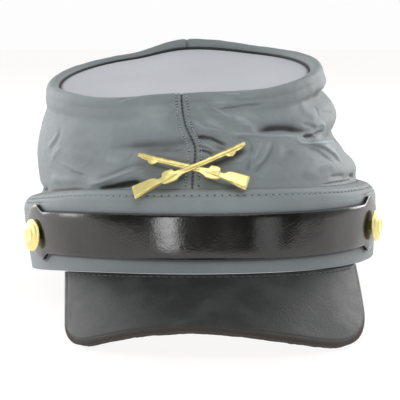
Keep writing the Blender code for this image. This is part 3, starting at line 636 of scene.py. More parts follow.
class Bench:
    """The nodes of one new material or world."""

    def __init__(self, owner):
        owner.use_nodes = True
        self.owner = owner
        self.tree = owner.node_tree
        self.tree.nodes.clear()

    def add(self, kind, settings=None, inputs=None, output=0):
        """Adds a node: its settings first, then the values or wires of its sockets."""
        node = self.tree.nodes.new(kind)
        for name, value in (settings or {}).items():
            setattr(node, name, value)
        for name, value in (inputs or {}).items():
            if isinstance(value, Wire):
                self.tree.links.new(value.socket, node.inputs[name])
            else:
                node.inputs[name].default_value = value
        return Wire(self, node.outputs[output]) if node.outputs else None

    def blend(self, share, first, second):
        """A colour between two colours."""
        kind = {"data_type": "RGBA"}
        return self.add("ShaderNodeMix", kind, {0: share, 6: first, 7: second}, 2)

    def tones(self, share, colour, low, high):
        """A colour between two brightnesses of one colour."""
        return self.blend(share, solid(colour, low), solid(colour, high))

    def places(self):
        return self.add("ShaderNodeTexCoord", None, None, "Object")

    def stretched(self, places, scale):
        return self.add("ShaderNodeMapping", None, {"Vector": places, "Scale": scale})

    def cloud(self, places, size, detail=3.0, roughness=0.5):
        """Noise from 0 to 1 with blotches of about that size in metres."""
        values = {"Vector": places, "Scale": 1 / size, "Detail": detail, "Roughness": roughness}
        return self.add("ShaderNodeTexNoise", None, values)

    def pebbles(self, places, size):
        """Distance to the nearest of scattered points about that far apart, for leather grain."""
        return self.add("ShaderNodeTexVoronoi", None, {"Vector": places, "Scale": 1 / size})

    def mark(self, name):
        """A number that the mesh stores at its points."""
        return self.add("ShaderNodeAttribute", {"attribute_name": name}, None, "Fac")

    def bumped(self, height, depth, strength=1.0):
        return self.add("ShaderNodeBump", None, {"Height": height, "Distance": depth, "Strength": strength})

    def done(self, **surface):
        """Ends in a Principled shader with these sockets, underscores standing for spaces."""
        values = {name.replace("_", " "): value for name, value in surface.items()}
        shader = self.add("ShaderNodeBsdfPrincipled", None, values)
        self.add("ShaderNodeOutputMaterial", None, {"Surface": shader})
        return self.owner


def solid(colour, factor=1.0):
    """A colour for a socket, made brighter or darker by a factor."""
    return (*(channel * factor for channel in colour), 1.0)


def hat_matrix():
    """The hat's place, from the record's mount on the band's bottom edge."""
    mount = frame["record"]["mounts"][0]
    up = -Vector(mount["axis"])
    tilt = -math.asin(up.y)
    roll = math.atan2(up.x, up.z)
    turn = Matrix.Rotation(roll, 4, "Y") @ Matrix.Rotation(tilt, 4, "X")
    place = Vector(mount["pos_m"]) - turn @ MOUNT_IN_HAT
    return Matrix.Translation(place) @ turn


def column(table, number):
    return np.array([row[number] for row in table])


def bell(distance, spread):
    return np.exp(-((distance / spread) ** 2))


def eased(share):
    share = np.clip(share, 0.0, 1.0)
    return share * share * (3 - 2 * share)


def wrapped(degrees):
    return (degrees + 180) % 360 - 180


def stacked(x, y, z):
    return np.stack(np.broadcast_arrays(x, y, z), axis=-1)


def unit(vectors):
    return vectors / np.linalg.norm(vectors, axis=-1, keepdims=True)


def smooth_noise(points, size, seed):
    """Smooth noise from about -1 to 1 at an array of points, with bumps of about that size."""
    flat = points.reshape(-1, 3) / size + seed * 7.3
    values = [noise.noise(Vector(point)) for point in flat]
    return np.array(values).reshape(points.shape[:-1])


def dents(points, layers):
    """Height of soft dents at points, the sum of layers of smooth noise."""
    return sum(smooth_noise(points, size, seed) * depth for size, depth, seed in layers)


def band_normals(bearing):
    return unit(stacked(np.sin(bearing) / BAND_HALF_WIDTH, -np.cos(bearing) / BAND_HALF_LENGTH, 0.0))


def band_points(bearing, inset, height):
    """Points inset from the band's widest line and raised above its bottom edge."""
    oval = stacked(BAND_HALF_WIDTH * np.sin(bearing), -BAND_HALF_LENGTH * np.cos(bearing), 0.0)
    inset = np.broadcast_to(inset, oval.shape[:-1])
    points = oval - band_normals(bearing) * inset[..., None]
    points[..., 0] -= BAND_LEAN * (height - BAND_HEIGHT / 2)
    points[..., 2] = height + BAND_SKEW * np.sin(bearing) ** BAND_SKEW_CURVE
    return points


def shelf_width(bearing):
    return SHELF_FRONT + (SHELF_SIDE - SHELF_FRONT) * np.sin(bearing) ** 2


def band_draw_in(height):
    widest = BAND_SHOULDER[0][1] * BAND_HEIGHT
    return BAND_TAPER * np.maximum(0.0, 1 - height / widest) ** BAND_TAPER_CURVE


def top_axes():
    across = Vector((math.cos(TOP_ROLL), 0, math.sin(TOP_ROLL)))
    back = Vector((0, math.cos(TOP_TILT), math.sin(TOP_TILT)))
    back = (back - across * back.dot(across)).normalized()
    return np.array(across), np.array(back), np.array(across.cross(back))


def rim_wave(bearing):
    degrees = np.degrees(bearing) % 360
    at = np.append(column(RIM_RISES, 1), 360)
    rises = np.append(column(RIM_RISES, 2), RIM_RISES[0][2])
    found = np.zeros_like(degrees)
    for low, high, low_rise, high_rise in zip(at, at[1:], rises, rises[1:]):
        ease = (1 - np.cos(np.pi * (degrees - low) / (high - low))) / 2
        inside = (degrees >= low) & (degrees <= high)
        found = np.where(inside, low_rise + (high_rise - low_rise) * ease, found)
    return RIM_WAVE * found


def top_points(bearing, radius, rise, follow=1.0):
    """Points of the crown's top: crown bearing, distance from its centre, height above the rim's plane, and
    the share of the rim's wave that they follow."""
    across, back, up = top_axes()
    turned = np.asarray(bearing + CROWN_TWIST)[..., None]
    centre = np.array((TOP_SHIFT_X, TOP_SHIFT_Y, BAND_HEIGHT + CROWN_HEIGHT))
    lift = rise + follow * rim_wave(bearing) * (radius / RIM_RADIUS) ** 2
    outwards = across * np.sin(turned) - back * np.cos(turned)
    return centre + outwards * np.asarray(radius)[..., None] + up * np.asarray(lift)[..., None]


def crown_feet(bearing, height):
    """Points of the crown's foot, inside the band's shelf."""
    turned = bearing + CROWN_TWIST
    return band_points(turned, shelf_width(turned) + CLEARANCE, height)


def line_push(across, up, line, above, below, form):
    """Height of a fold from 0 to 1 round a line. across and up are metres on the unrolled wall."""
    ends = np.array(line)
    lengths = np.linalg.norm(np.diff(ends, axis=0), axis=1)
    total = lengths.sum()
    nearest = np.full(across.shape, 1e9)
    side = np.zeros(across.shape)
    along = np.zeros(across.shape)
    before = 0.0
    for start, end, length in zip(ends, ends[1:], lengths):
        run = (end - start) / length
        x = across - start[0]
        y = up - start[1]
        travel = np.clip(x * run[0] + y * run[1], 0.0, length)
        dx = x - run[0] * travel
        dy = y - run[1] * travel
        distance = np.hypot(dx, dy)
        closer = distance < nearest
        nearest = np.where(closer, distance, nearest)
        side = np.where(closer, run[0] * dy - run[1] * dx, side)
        along = np.where(closer, before + travel, along)
        before += length
    breadth = np.where(side > 0, above, below) * MILLIMETRE
    fade = eased(np.minimum(along, total - along) / (0.3 * total) + 0.15)
    return fade * np.exp(-((nearest / breadth) ** form))


def wall_push(bearing, share):
    """How far slumps and folds push the crown's wall outwards, one by one, and the painted light and shade
    of the folds.
    """
    degrees = np.degrees(bearing)
    wall = top_points(bearing, RIM_RADIUS, 0.0) - crown_feet(bearing, BAND_HEIGHT)
    strength = bpy.context.scene.kepi.fold_strength
    broad = -NECK_DEPTH * bell(share - NECK_AT, NECK_SPREAD)
    for _, at, height, spread, rows, depth in CROWN_SLUMPS:
        swell = bell(wrapped(degrees - at), spread) * bell(share - height, rows)
        broad = broad + SLUMP_DEPTH * depth * swell
    usual_height = float(np.median(np.linalg.norm(wall, axis=-1)))
    up = share * usual_height
    unrolled = stacked(wrapped(degrees) * CROWN_DEGREE, up, 0.0)
    coarse = np.abs(smooth_noise(unrolled, CRUMPLE_SIZE, 11))
    ridges = 0.45 - coarse - 0.5 * np.abs(smooth_noise(unrolled, CRUMPLE_FINE, 12))
    fine = CRUMPLE_DEPTH * strength * ridges
    # Painted highlight on the crumples' ridges and painted shade in their hollows.
    wear_and_painted_light = 0.25 * ridges
    for _, line, rise, above, below, form, tone in CROWN_FOLDS:
        middle = line[len(line) // 2][0]
        across = wrapped(degrees - middle) * CROWN_DEGREE
        path = [((at - middle) * CROWN_DEGREE, high * usual_height) for at, high in line]
        swell = line_push(across, up, path, above, below, form)
        fine = fine + rise * MILLIMETRE * strength * swell
        # Each fold adds its tone: painted shade where it is negative, a painted highlight where it is
        # positive.
        wear_and_painted_light = wear_and_painted_light + tone * swell
    seam = wrapped(degrees - np.degrees(seam_shift(share))) * CROWN_DEGREE
    wear_and_painted_light = wear_and_painted_light - 1.3 * bell(seam, SEAM_LINE) * (0.65 + 0.35 * np.sin(share * 150))
    free = np.clip(share / HELD_AT_FOOT, 0, 1) * np.clip((1 - share) / HELD_AT_RIM, 0, 1)
    from_rim = np.clip((1 + RIM_TURN - share) / FOLDS_HELD_AT_RIM, 0, 1)
    held = np.clip(share / FOLDS_HELD_AT_FOOT, 0, 1) * from_rim
    return broad * eased(free), fine * eased(held), wear_and_painted_light


def seam_shift(share):
    """Sideways run of the front seam as a crown bearing."""
    fine = np.linspace(0, 1, 101)
    line = np.interp(fine, column(FRONT_SEAM, 1), column(FRONT_SEAM, 2))
    kernel = np.hanning(13)
    padded = np.pad(line, 6, mode="edge")
    soft = np.convolve(padded, kernel / kernel.sum(), mode="valid")
    return np.radians(np.interp(np.clip(share, 0, 1), fine, soft))


def following_seam(bearing, share):
    """Bearings near the front seam, moved sideways with its run."""
    return bearing + seam_shift(share) * bell(wrapped(np.degrees(bearing)), SEAM_FOLLOW)


def seam_dip(bearing, share):
    """The leather turns in at both seams, and puckers between the stitches of the front one."""
    front = wrapped(np.degrees(bearing - seam_shift(share))) * CROWN_DEGREE
    back = wrapped(np.degrees(bearing) - 180) * CROWN_DEGREE
    dip = np.exp(-np.abs(front) / SEAM_BREADTH) + np.exp(-np.abs(back) / SEAM_BREADTH)
    welt = sum(bell(np.abs(seam) - SEAM_STITCHES, WELT_BREADTH) for seam in (front, back))
    pucker = bell(front, PUCKER_REACH) * bell(share - PUCKER_AT, PUCKER_SPREAD)
    ripple = np.sin(share * 165 + front * 900) * pucker
    return -SEAM_DEPTH * dip - WELT_DEPTH * welt + PUCKER_DEPTH * ripple


def crown_points(bearing, row):
    """The outer face of the crown. Rows -1 to 0 are tucked inside the band, 0 to 1 are the wall, 1 to 2 the
    turn over the rim, 2 to 3 its inner side and 3 to 4 the ledge under the round top."""
    share = np.clip(row, 0.0, 1.0)
    bearing = following_seam(bearing, share)
    broad, fine, _ = wall_push(bearing, share + RIM_TURN * np.clip(row - 1, 0, 1))
    push = broad + fine + seam_dip(bearing, share) * eased(share / 0.02)
    foot = crown_feet(bearing, BAND_HEIGHT)
    rim = top_points(bearing, RIM_RADIUS, 0.0)
    outwards = band_normals(bearing + CROWN_TWIST)
    wall = foot + (rim - foot) * share[..., None] + outwards * push[..., None]
    tuck = crown_feet(bearing, BAND_HEIGHT + CROWN_TUCK * np.minimum(row, 0.0))
    turn = np.pi * np.clip(row - 1, 0.0, 1.0)
    middle = RIM_RADIUS - RIM_WIDTH / 2
    seams = seam_dip(bearing, np.ones_like(share)) * SEAM_ON_RIM + fine
    past_crest = np.clip((row - RIM_CREST_ROW) / (2 - RIM_CREST_ROW), 0.0, 1.0)
    follow = 1 + (TOP_FOLLOWS_RIM - 1) * past_crest
    outset = (RIM_WIDTH / 2 + seams) * np.cos(turn)
    roll = top_points(bearing, middle + outset, (RIM_CREST + seams) * np.sin(turn), follow)
    ledge_height = RIM_CREST - TOP_RECESS - TOP_THICKNESS - CLEARANCE
    inner = RIM_RADIUS - RIM_WIDTH
    side = top_points(bearing, np.full_like(row, inner), ledge_height * np.clip(row - 2, 0, 1), follow)
    ledge = top_points(bearing, inner - TOP_LEDGE * np.clip(row - 3, 0, 1), ledge_height, follow)
    row = row[..., None]
    points = np.where(row < 0, tuck, wall)
    points = np.where(row > 1, roll, points)
    points = np.where(row > 2, side, points)
    return np.where(row > 3, ledge, points)


def grid_normals(points):
    """Normals of a grid of points along du x dv, where u runs along the second index."""
    normals = np.cross(np.gradient(points, axis=1), np.gradient(points, axis=0))
    length = np.linalg.norm(normals, axis=-1, keepdims=True)
    return normals / np.maximum(length, 1e-12)


def quads(rows, columns, ring, closed=False):
    """Faces of a grid numbered row by row. ring joins its last column to its first, and closed its rows."""
    i, j = np.meshgrid(np.arange(rows - (not closed)), np.arange(columns - (not ring)), indexing="ij")
    here = i * columns
    after = (i + 1) % rows * columns
    right = (j + 1) % columns
    return np.stack((here + j, here + right, after + right, after + j), axis=-1).reshape(-1, 4)


def mesh_of(name, points, faces, slots=None, marks=None):
    mesh = bpy.data.meshes.new(name)
    mesh.vertices.add(len(points))
    mesh.vertices.foreach_set("co", np.asarray(points, np.float32).ravel())
    mesh.loops.add(len(faces) * 4)
    mesh.loops.foreach_set("vertex_index", np.asarray(faces, np.int32).ravel())
    mesh.polygons.add(len(faces))
    mesh.polygons.foreach_set("loop_start", np.arange(0, len(faces) * 4, 4, dtype=np.int32))
    mesh.polygons.foreach_set("loop_total", np.full(len(faces), 4, np.int32))
    if slots is not None:
        mesh.polygons.foreach_set("material_index", np.asarray(slots, np.int32))
    mesh.update(calc_edges=True)
    for mark, values in (marks or {}).items():
        layer = mesh.attributes.new(mark, "FLOAT", "POINT")
        layer.data.foreach_set("value", np.asarray(values, np.float32).ravel())
    mesh.shade_smooth()
    return mesh


def border_loop(rows, columns, ring):
    """Point numbers round the edge of a grid: one loop, or two where the grid is a ring."""
    numbers = np.arange(rows * columns).reshape(rows, columns)
    if ring:
        return [numbers[0], numbers[-1][::-1]]
    return [np.concatenate((numbers[0, :-1], numbers[:-1, -1], numbers[-1, :0:-1], numbers[:0:-1, 0]))]


def facing_out(mesh):
    """Turns every face of a closed mesh outwards."""
    shape = bmesh.new()
    shape.from_mesh(mesh)
    bmesh.ops.recalc_face_normals(shape, faces=shape.faces[:])
    shape.to_mesh(mesh)
    shape.free()
    return mesh


def place_piece(name, mesh, materials, slot, *nodes):
    """Moves a finished piece from the hat's frame to its place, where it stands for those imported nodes."""
    mesh.transform(hat_matrix())
    piece = bpy.data.objects.new(name, mesh)
    bpy.context.scene.collection.objects.link(piece)
    for material in materials:
        mesh.materials.append(material)
    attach(piece, "root")
    if nodes:
        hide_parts(*nodes)
    return piece


def softened_edges(piece, width, segments=2, angle=40):
    bevel = piece.modifiers.new("softened edges", "BEVEL")
    bevel.width = width
    bevel.segments = segments
    bevel.limit_method = "ANGLE"
    bevel.angle_limit = math.radians(angle)


def closed_sheet(name, face_side, back_side, ring=False, marks=None, edge_rows=2):
    """A closed piece between two grids of points. The faces round its edge are given material 1."""
    rows, columns = face_side.shape[:2]
    count = rows * columns
    points = [face_side.reshape(-1, 3), back_side.reshape(-1, 3)]
    faces = [quads(rows, columns, ring), quads(rows, columns, ring)[:, ::-1] + count]
    inner = len(faces[0]) + len(faces[1])
    start = 2 * count
    for loop in border_loop(rows, columns, ring):
        rings = [loop]
        for k in range(1, edge_rows):
            layer = face_side + (back_side - face_side) * k / edge_rows
            points.append(layer.reshape(-1, 3)[loop])
            rings.append(np.arange(start, start + len(loop)))
            start += len(loop)
        rings.append(loop + count)
        for outer, under in zip(rings, rings[1:]):
            faces.append(np.stack((outer, under, np.roll(under, -1), np.roll(outer, -1)), axis=-1))
    faces = np.concatenate(faces)
    slots = np.zeros(len(faces), np.int32)
    slots[inner:] = 1
    points = np.concatenate(points)
    spread = {}
    for mark, values in (marks or {}).items():
        flat = np.zeros(len(points))
        flat[:count] = values.ravel()
        spread[mark] = flat
    return facing_out(mesh_of(name, points, faces, slots, spread))


def grey_leather():
    """Grey leather with painted highlights on its ridges and painted shade in its creases and under things,
    partly rubbed wear.
    """
    looks = bpy.context.scene.kepi
    bench = Bench(bpy.data.materials.new("grey_leather"))
    places = bench.places()
    blotches = bench.cloud(places, 0.035, 4.0)
    specks = bench.cloud(places, 0.004, 5.0, 0.6)
    # The mesh's mark of painted light and shade, with a little wear: above 0 a painted highlight, below 0
    # painted shade.
    wear_and_painted_light = bench.mark("wear_and_painted_light")
    base = bench.tones(blotches.between(0.35, 0.7), looks.crown_colour, 0.93, 1.07)
    painted_highlight = wear_and_painted_light.between(0.0, 1.0)
    painted_shade = (0 - wear_and_painted_light).between(0.0, 1.0)
    base = bench.blend(painted_highlight, base, solid(looks.crown_colour, looks.rubbed_tone))
    base = bench.blend(painted_shade, base, solid(looks.crown_colour, looks.crease_tone))
    base = bench.blend(specks.between(0.62, 0.8) * 0.12, base, solid(looks.crown_colour, 1.5))
    pores = bench.pebbles(places, 0.0011)
    grain = pores * 0.6 + bench.cloud(places, 0.0007, 3.0) * 0.4
    creasing = bench.cloud(bench.stretched(places, (1.0, 1.0, 2.2)), 0.006, 5.0, 0.62)
    bump = bench.bumped(grain * 0.5 + creasing * 1.6, looks.grain_depth, 0.7)
    rough = 0.5 + blotches * 0.16 + pores * 0.06
    return bench.done(Base_Color=base, Roughness=rough, Normal=bump, Sheen_Weight=0.15, Sheen_Roughness=0.5)


def pale_leather():
    """The round top's pale leather, with painted shade at its edge where it meets the rim."""
    looks = bpy.context.scene.kepi
    bench = Bench(bpy.data.materials.new("pale_leather"))
    places = bench.places()
    blotches = bench.cloud(places, 0.05, 4.0)
    base = bench.tones(blotches.between(0.3, 0.75), looks.top_colour, 0.96, 1.04)
    specks = bench.cloud(places, 0.003, 5.0, 0.65)
    base = bench.blend(specks.between(0.6, 0.8) * 0.15, base, solid(looks.top_colour, 0.86))
    # Painted shade along the edge, where the round top meets the rim.
    edge = bench.mark("edge").between(0.1, 1.0)
    base = bench.blend(edge * 0.85, base, solid(looks.top_colour, 0.2))
    grain = bench.pebbles(places, 0.0012) + bench.cloud(places, 0.008, 4.0) * 0.8
    bump = bench.bumped(grain, looks.grain_depth, 0.5)
    return bench.done(Base_Color=base, Roughness=0.55 + blotches * 0.12, Normal=bump)


def dark_leather():
    """The peak's dark leather, scuffed and dusty."""
    looks = bpy.context.scene.kepi
    bench = Bench(bpy.data.materials.new("dark_leather"))
    places = bench.places()
    scuffs = bench.cloud(places, 0.016, 5.0, 0.62)
    dust = bench.cloud(places, 0.0014, 3.0, 0.7)
    base = bench.tones(scuffs.between(0.42, 0.68), looks.peak_colour, 0.75, 1.5)
    base = bench.blend(dust.between(0.66, 0.78) * 0.5, base, solid(looks.peak_colour, 5.0))
    edge = bench.mark("edge")
    base = bench.blend(edge * 0.85, base, solid(looks.edge_colour))
    grain = bench.pebbles(places, 0.0009) * 0.5 + bench.cloud(places, 0.005, 4.0)
    bump = bench.bumped(grain, looks.grain_depth, 0.5)
    rough = 0.48 + scuffs.between(0.35, 0.75) * 0.14 + dust * 0.06 + edge * 0.25
    return bench.done(Base_Color=base, Roughness=rough, Normal=bump, Specular_IOR_Level=0.4)


def cut_leather():
    """The raw edge of thick leather, with its fibres."""
    looks = bpy.context.scene.kepi
    bench = Bench(bpy.data.materials.new("cut_leather"))
    places = bench.places()
    fibres = bench.cloud(bench.stretched(places, (1.0, 1.0, 3.5)), 0.0016, 5.0, 0.7)
    patches = bench.cloud(places, 0.012, 3.0)
    base = bench.tones(fibres.between(0.35, 0.68), looks.edge_colour, 0.5, 1.35)
    base = bench.blend(patches.between(0.45, 0.7) * 0.5, base, solid(looks.peak_colour))
    bump = bench.bumped(fibres, 0.0006, 0.9)
    return bench.done(Base_Color=base, Roughness=0.85, Normal=bump)


def glossy_leather():
    """The strap's glossy black leather."""
    looks = bpy.context.scene.kepi
    bench = Bench(bpy.data.materials.new("glossy_leather"))
    places = bench.places()
    waves = bench.cloud(places, 0.006, 4.0, 0.6)
    pores = bench.pebbles(places, 0.0008)
    smears = bench.cloud(bench.stretched(places, (1.0, 1.0, 0.35)), 0.018, 4.0)
    base = bench.tones(smears.between(0.4, 0.7), looks.strap_colour, 1.0, 2.2)
    bump = bench.bumped(waves + pores * 0.35, 0.00012, 0.8)
    rough = 0.15 + smears.between(0.35, 0.75) * 0.1
    shine = {"Coat_Weight": 0.35, "Coat_Roughness": 0.14, "Specular_IOR_Level": 0.6}
    return bench.done(Base_Color=base, Roughness=rough, Normal=bump, **shine)


def strap_edge():
    """The strap's dull cut edge."""
    looks = bpy.context.scene.kepi
    bench = Bench(bpy.data.materials.new("strap_edge"))
    places = bench.places()
    fibres = bench.cloud(places, 0.001, 4.0, 0.7)
    base = bench.blend(
        fibres.between(0.4, 0.65),
        solid(looks.strap_colour, 1.5),
        solid(looks.edge_colour, 0.4),
    )
    return bench.done(
        Base_Color=base,
        Roughness=0.85,
        Normal=bench.bumped(fibres, 0.0002, 0.6),
        Specular_IOR_Level=0.2,
    )


def polished_brass():
    """Brass with a little tarnish, and dirt in its recesses."""
    looks = bpy.context.scene.kepi
    bench = Bench(bpy.data.materials.new("polished_brass"))
    places = bench.places()
    tarnish = bench.cloud(places, 0.004, 4.0, 0.6)
    recess = bench.mark("recess")
    base = bench.tones(tarnish.between(0.5, 0.8) * 0.4, looks.brass_colour, 1.0, 0.75)
    base = bench.blend(recess.between(0.0, 1.0) * 0.8, base, solid((0.2, 0.11, 0.03)))
    hammered = bench.cloud(places, 0.0016, 3.0)
    rough = 0.38 + tarnish * 0.16 + recess * 0.15
    return bench.done(
        Base_Color=base, Metallic=0.72, Roughness=rough, Normal=bench.bumped(hammered, 0.0001, 0.5)
    )


def spun_thread(name, colour, factor):
    """Thread in a colour that is brighter than the leather's by a factor."""
    bench = Bench(bpy.data.materials.new(name))
    places = bench.places()
    twist = bench.add(
        "ShaderNodeTexWave",
        {"wave_type": "BANDS", "bands_direction": "DIAGONAL"},
        {"Vector": places, "Scale": 1500.0, "Distortion": 1.5},
        "Fac",
    )
    base = bench.tones(twist, colour, factor * 0.7, factor * 1.1)
    return bench.done(Base_Color=base, Roughness=0.8, Normal=bench.bumped(twist, 0.00008, 0.6))


def kept(make):
    """A material made once and then shared."""
    return bpy.data.materials.get(make.__name__) or make()


def panel_piece(name, bearings):
    """One side panel of the crown between those bearings."""
    rows = np.concatenate(
        (
            (-1.0, -0.5, -0.12),
            np.linspace(0, 1, WALL_ROWS),
            np.linspace(1, 2, RIM_ROWS)[1:],
            (2.35, 2.7, 2.97, 3.2, 4.0),
        )
    )
    u, v = np.meshgrid(bearings, rows)
    face = crown_points(u, v)
    share = np.clip(v, 0, 1)
    _, _, wear_and_painted_light = wall_push(following_seam(u, share), share + RIM_TURN * np.clip(v - 1, 0, 1))
    # Painted shade on the rim's inner side, where it meets the round top.
    wear_and_painted_light = wear_and_painted_light - RIM_SHADE_STRENGTH * eased((v - RIM_SHADE) / RIM_SHADE_RUN)
    back = face - grid_normals(face) * LEATHER
    return closed_sheet(name, face, back, marks={"wear_and_painted_light": np.clip(wear_and_painted_light, -1, 1)}, edge_rows=1)


def colour_choice(name, description, default):
    return bpy.props.FloatVectorProperty(
        name=name, description=description, subtype="COLOR", min=0, max=1, default=default
    )


def number_choice(name, description, low, high, default, **more):
    return bpy.props.FloatProperty(
        name=name, description=description, min=low, max=high, default=default, **more
    )


def length_choice(name, description, low, high, default, precision):
    kind = {"subtype": "DISTANCE", "unit": "LENGTH", "precision": precision}
    return number_choice(name, description, low, high, default, **kind)


class KepiLooks(bpy.types.PropertyGroup):
    """What can be chosen about the hat's looks"""

    crown_colour: colour_choice(
        "Crown colour", "Colour of the grey leather of the crown and the band", (0.204, 0.233, 0.242)
    )
    top_colour: colour_choice(
        "Top colour", "Colour of the pale leather of the round top", (0.50, 0.515, 0.545)
    )
    peak_colour: colour_choice(
        "Peak colour", "Colour of the dark leather of the peak", (0.024, 0.025, 0.025)
    )
    edge_colour: colour_choice(
        "Cut edge colour", "Colour of the raw edge of the peak's leather", (0.040, 0.031, 0.026)
    )
    strap_colour: colour_choice("Strap colour", "Colour of the chin strap", (0.009, 0.0085, 0.008))
    brass_colour: colour_choice("Brass colour", "Colour of the buttons and the badge", (0.96, 0.85, 0.35))
    # Brightness of the painted highlights on the crown and band, partly rubbed wear.
    rubbed_tone: number_choice(
        "Rubbed tone", "Brightness of the crown's most rubbed leather over its colour's", 1, 4, 2.1
    )
    # Darkness of the painted shade in the crown's creases and under things.
    crease_tone: number_choice(
        "Crease tone", "Brightness of the crown's deepest creases over its colour's", 0, 1, 0.12
    )
    fold_strength: number_choice(
        "Fold strength", "How deep the crown's folds are, 1 being as in the photograph", 0, 2, 1.0
    )
    grain_depth: length_choice("Grain depth", "Depth of the leather's grain", 0, 0.001, 0.00022, 5)
    stitch_pitch: length_choice(
        "Stitch pitch", "Distance from one stitch to the next", 0.001, 0.01, 0.0033, 4
    )
    thread_width: length_choice(
        "Thread width", "Thickness of the sewing thread", 0.0002, 0.001, 0.0005, 5
    )
    light: number_choice(
        "Light", "Brightness of the studio lights, 1 being as in the photograph", 0, 3, 1.0
    )


class KEPI_OT_crown(bpy.types.Operator):
    """Build the crown's two panels, with their folds and the rolled rim"""

    bl_idname = "kepi.crown"
    bl_label = "Crown panels"

    def execute(self, context):
        seam = SEAM_GAP / 2 / BAND_HALF_WIDTH
        steps = np.linspace(0, 1, PANEL_COLUMNS)
        bearings = seam + (math.pi - 2 * seam) * (FRONT_DENSITY * steps + (1 - FRONT_DENSITY) * steps**2)
        leather = kept(grey_leather)
        right = panel_piece("crown_right", bearings)
        place_piece("crown_right", right, [leather, leather], "crown_leather", "crown_panel_right")
        left = panel_piece("crown_left", -bearings[::-1])
        place_piece("crown_left", left, [leather, leather], "crown_leather", "crown_panel_left")
        return {"FINISHED"}


class KEPI_OT_round_top(bpy.types.Operator):
    """Build the pale round top, let in below the rim"""

    bl_idname = "kepi.round_top"
    bl_label = "Round top"

    def execute(self, context):
        radius = RIM_RADIUS - RIM_WIDTH - CLEARANCE
        height = RIM_CREST - TOP_RECESS
        bearings = np.linspace(0, math.tau, TOP_COLUMNS, endpoint=False)
        rings = TOP_EYE + (1 - TOP_EYE) * np.linspace(0, 1, TOP_RINGS) ** 0.8
        u, v = np.meshgrid(bearings, rings)
        sag = TOP_SAG * (1 - v**2) + TOP_EDGE_DIP * bell(v - 1, TOP_EDGE_DIP_RUN)
        face = top_points(u, radius * v, height - sag, TOP_FOLLOWS_RIM)
        _, _, up = top_axes()
        face = face + up * (dents(face, TOP_DENTS) * (1 - v**4))[..., None]
        back = face - up * TOP_THICKNESS
        # Painted shade along the round top's edge, where it meets the rim.
        edge = bell(v - 1, TOP_EDGE_SHADE)
        mesh = closed_sheet("round_top", face, back, ring=True, marks={"edge": edge}, edge_rows=1)
        shape = bmesh.new()
        shape.from_mesh(mesh)
        shape.verts.ensure_lookup_table()
        middle = [vert for vert in shape.verts if vert.index % (TOP_RINGS * TOP_COLUMNS) < TOP_COLUMNS]
        bmesh.ops.remove_doubles(shape, verts=middle, dist=radius * TOP_EYE * 2.5)
        bmesh.ops.recalc_face_normals(shape, faces=shape.faces[:])
        shape.to_mesh(mesh)
        shape.free()
        leather = kept(pale_leather)
        place_piece("round_top", mesh, [leather, leather], "top_leather", "crown_top")
        return {"FINISHED"}


def band_profile():
    """Outer face of the band from its bottom edge to the crown, as (draw in, share of the height, share of
    the shelf), rounded between the rows of BAND_SHOULDER."""
    steps = np.arange(len(BAND_SHOULDER))
    fine = np.linspace(0, steps[-1], 41)
    height = np.interp(fine, steps, column(BAND_SHOULDER, 1))
    draw = np.interp(fine, steps, column(BAND_SHOULDER, 2))
    kernel = np.hanning(11)
    kernel /= kernel.sum()
    for _ in range(2):
        height[5:-5] = np.convolve(height, kernel, mode="valid")[: len(height) - 10]
        draw[5:-5] = np.convolve(draw, kernel, mode="valid")[: len(draw) - 10]
    wall = np.linspace(0, BAND_SHOULDER[0][1], BAND_ROWS + 1)[:-1]
    return np.concatenate((wall, height)), np.concatenate((np.zeros(BAND_ROWS), draw))


def band_face(bearing, height, draw):
    """Outer face of the band with the groove of its stitches and its side creases."""
    degrees = wrapped(np.degrees(bearing))
    inset = draw * shelf_width(bearing) + band_draw_in(height * BAND_HEIGHT)
    groove = STITCH_GROOVE * bell(height - STITCHED_EDGE, 0.010)
    groove = groove - SHOULDER_SWELL * bell(height - SHOULDER_SWELL_AT, 0.018)
    side = eased((np.abs(degrees) - 50) / 25)
    crease_line = SIDE_CREASE_AT + 0.0011 * (np.abs(degrees) - 70)
    crease = SIDE_CREASE * bell(height - crease_line, 0.011) * side
    return band_points(bearing, inset + groove + crease, height * BAND_HEIGHT)


def band_wear(bearing, height):
    """Painted light of the band: painted shadow along the strap's edges and painted shade at the crown's
    foot, darker just below the stitches, and lighter in front as if lit.
    """
    along = mean_radius() * (wrapped(np.degrees(bearing)) * math.radians(1) - STRAP_TURN)
    past_corner = np.abs(along) - strap_corner()
    half = strap_half_width(past_corner)
    middle = STRAP_HEIGHT + STRAP_RISE * (along / strap_corner()) ** 2
    # Painted shadow along the strap's top and bottom edges.
    top = -0.75 * bell(height - middle - half - 0.0004, 0.0006)
    bottom = -0.85 * bell(height - middle + half + 0.0005, 0.0008)
    shaded = np.where(past_corner < STRAP_CORNER + STRAP_TIP, top + bottom, 0.0)
    share = height / BAND_HEIGHT
    # Painted shade where the crown's foot meets the band.
    foot = -0.8 * np.clip((share - CROWN_SHADE_FROM) / (1 - CROWN_SHADE_FROM), 0, 1)
    # The band's front painted lighter, as if lit.
    painted_highlight = 0.15 * bell(wrapped(np.degrees(bearing)), LIT_FRONT_SPREAD)
    return shaded + foot + painted_highlight - 0.3 * bell(share - STITCHED_EDGE + 0.012, 0.008)


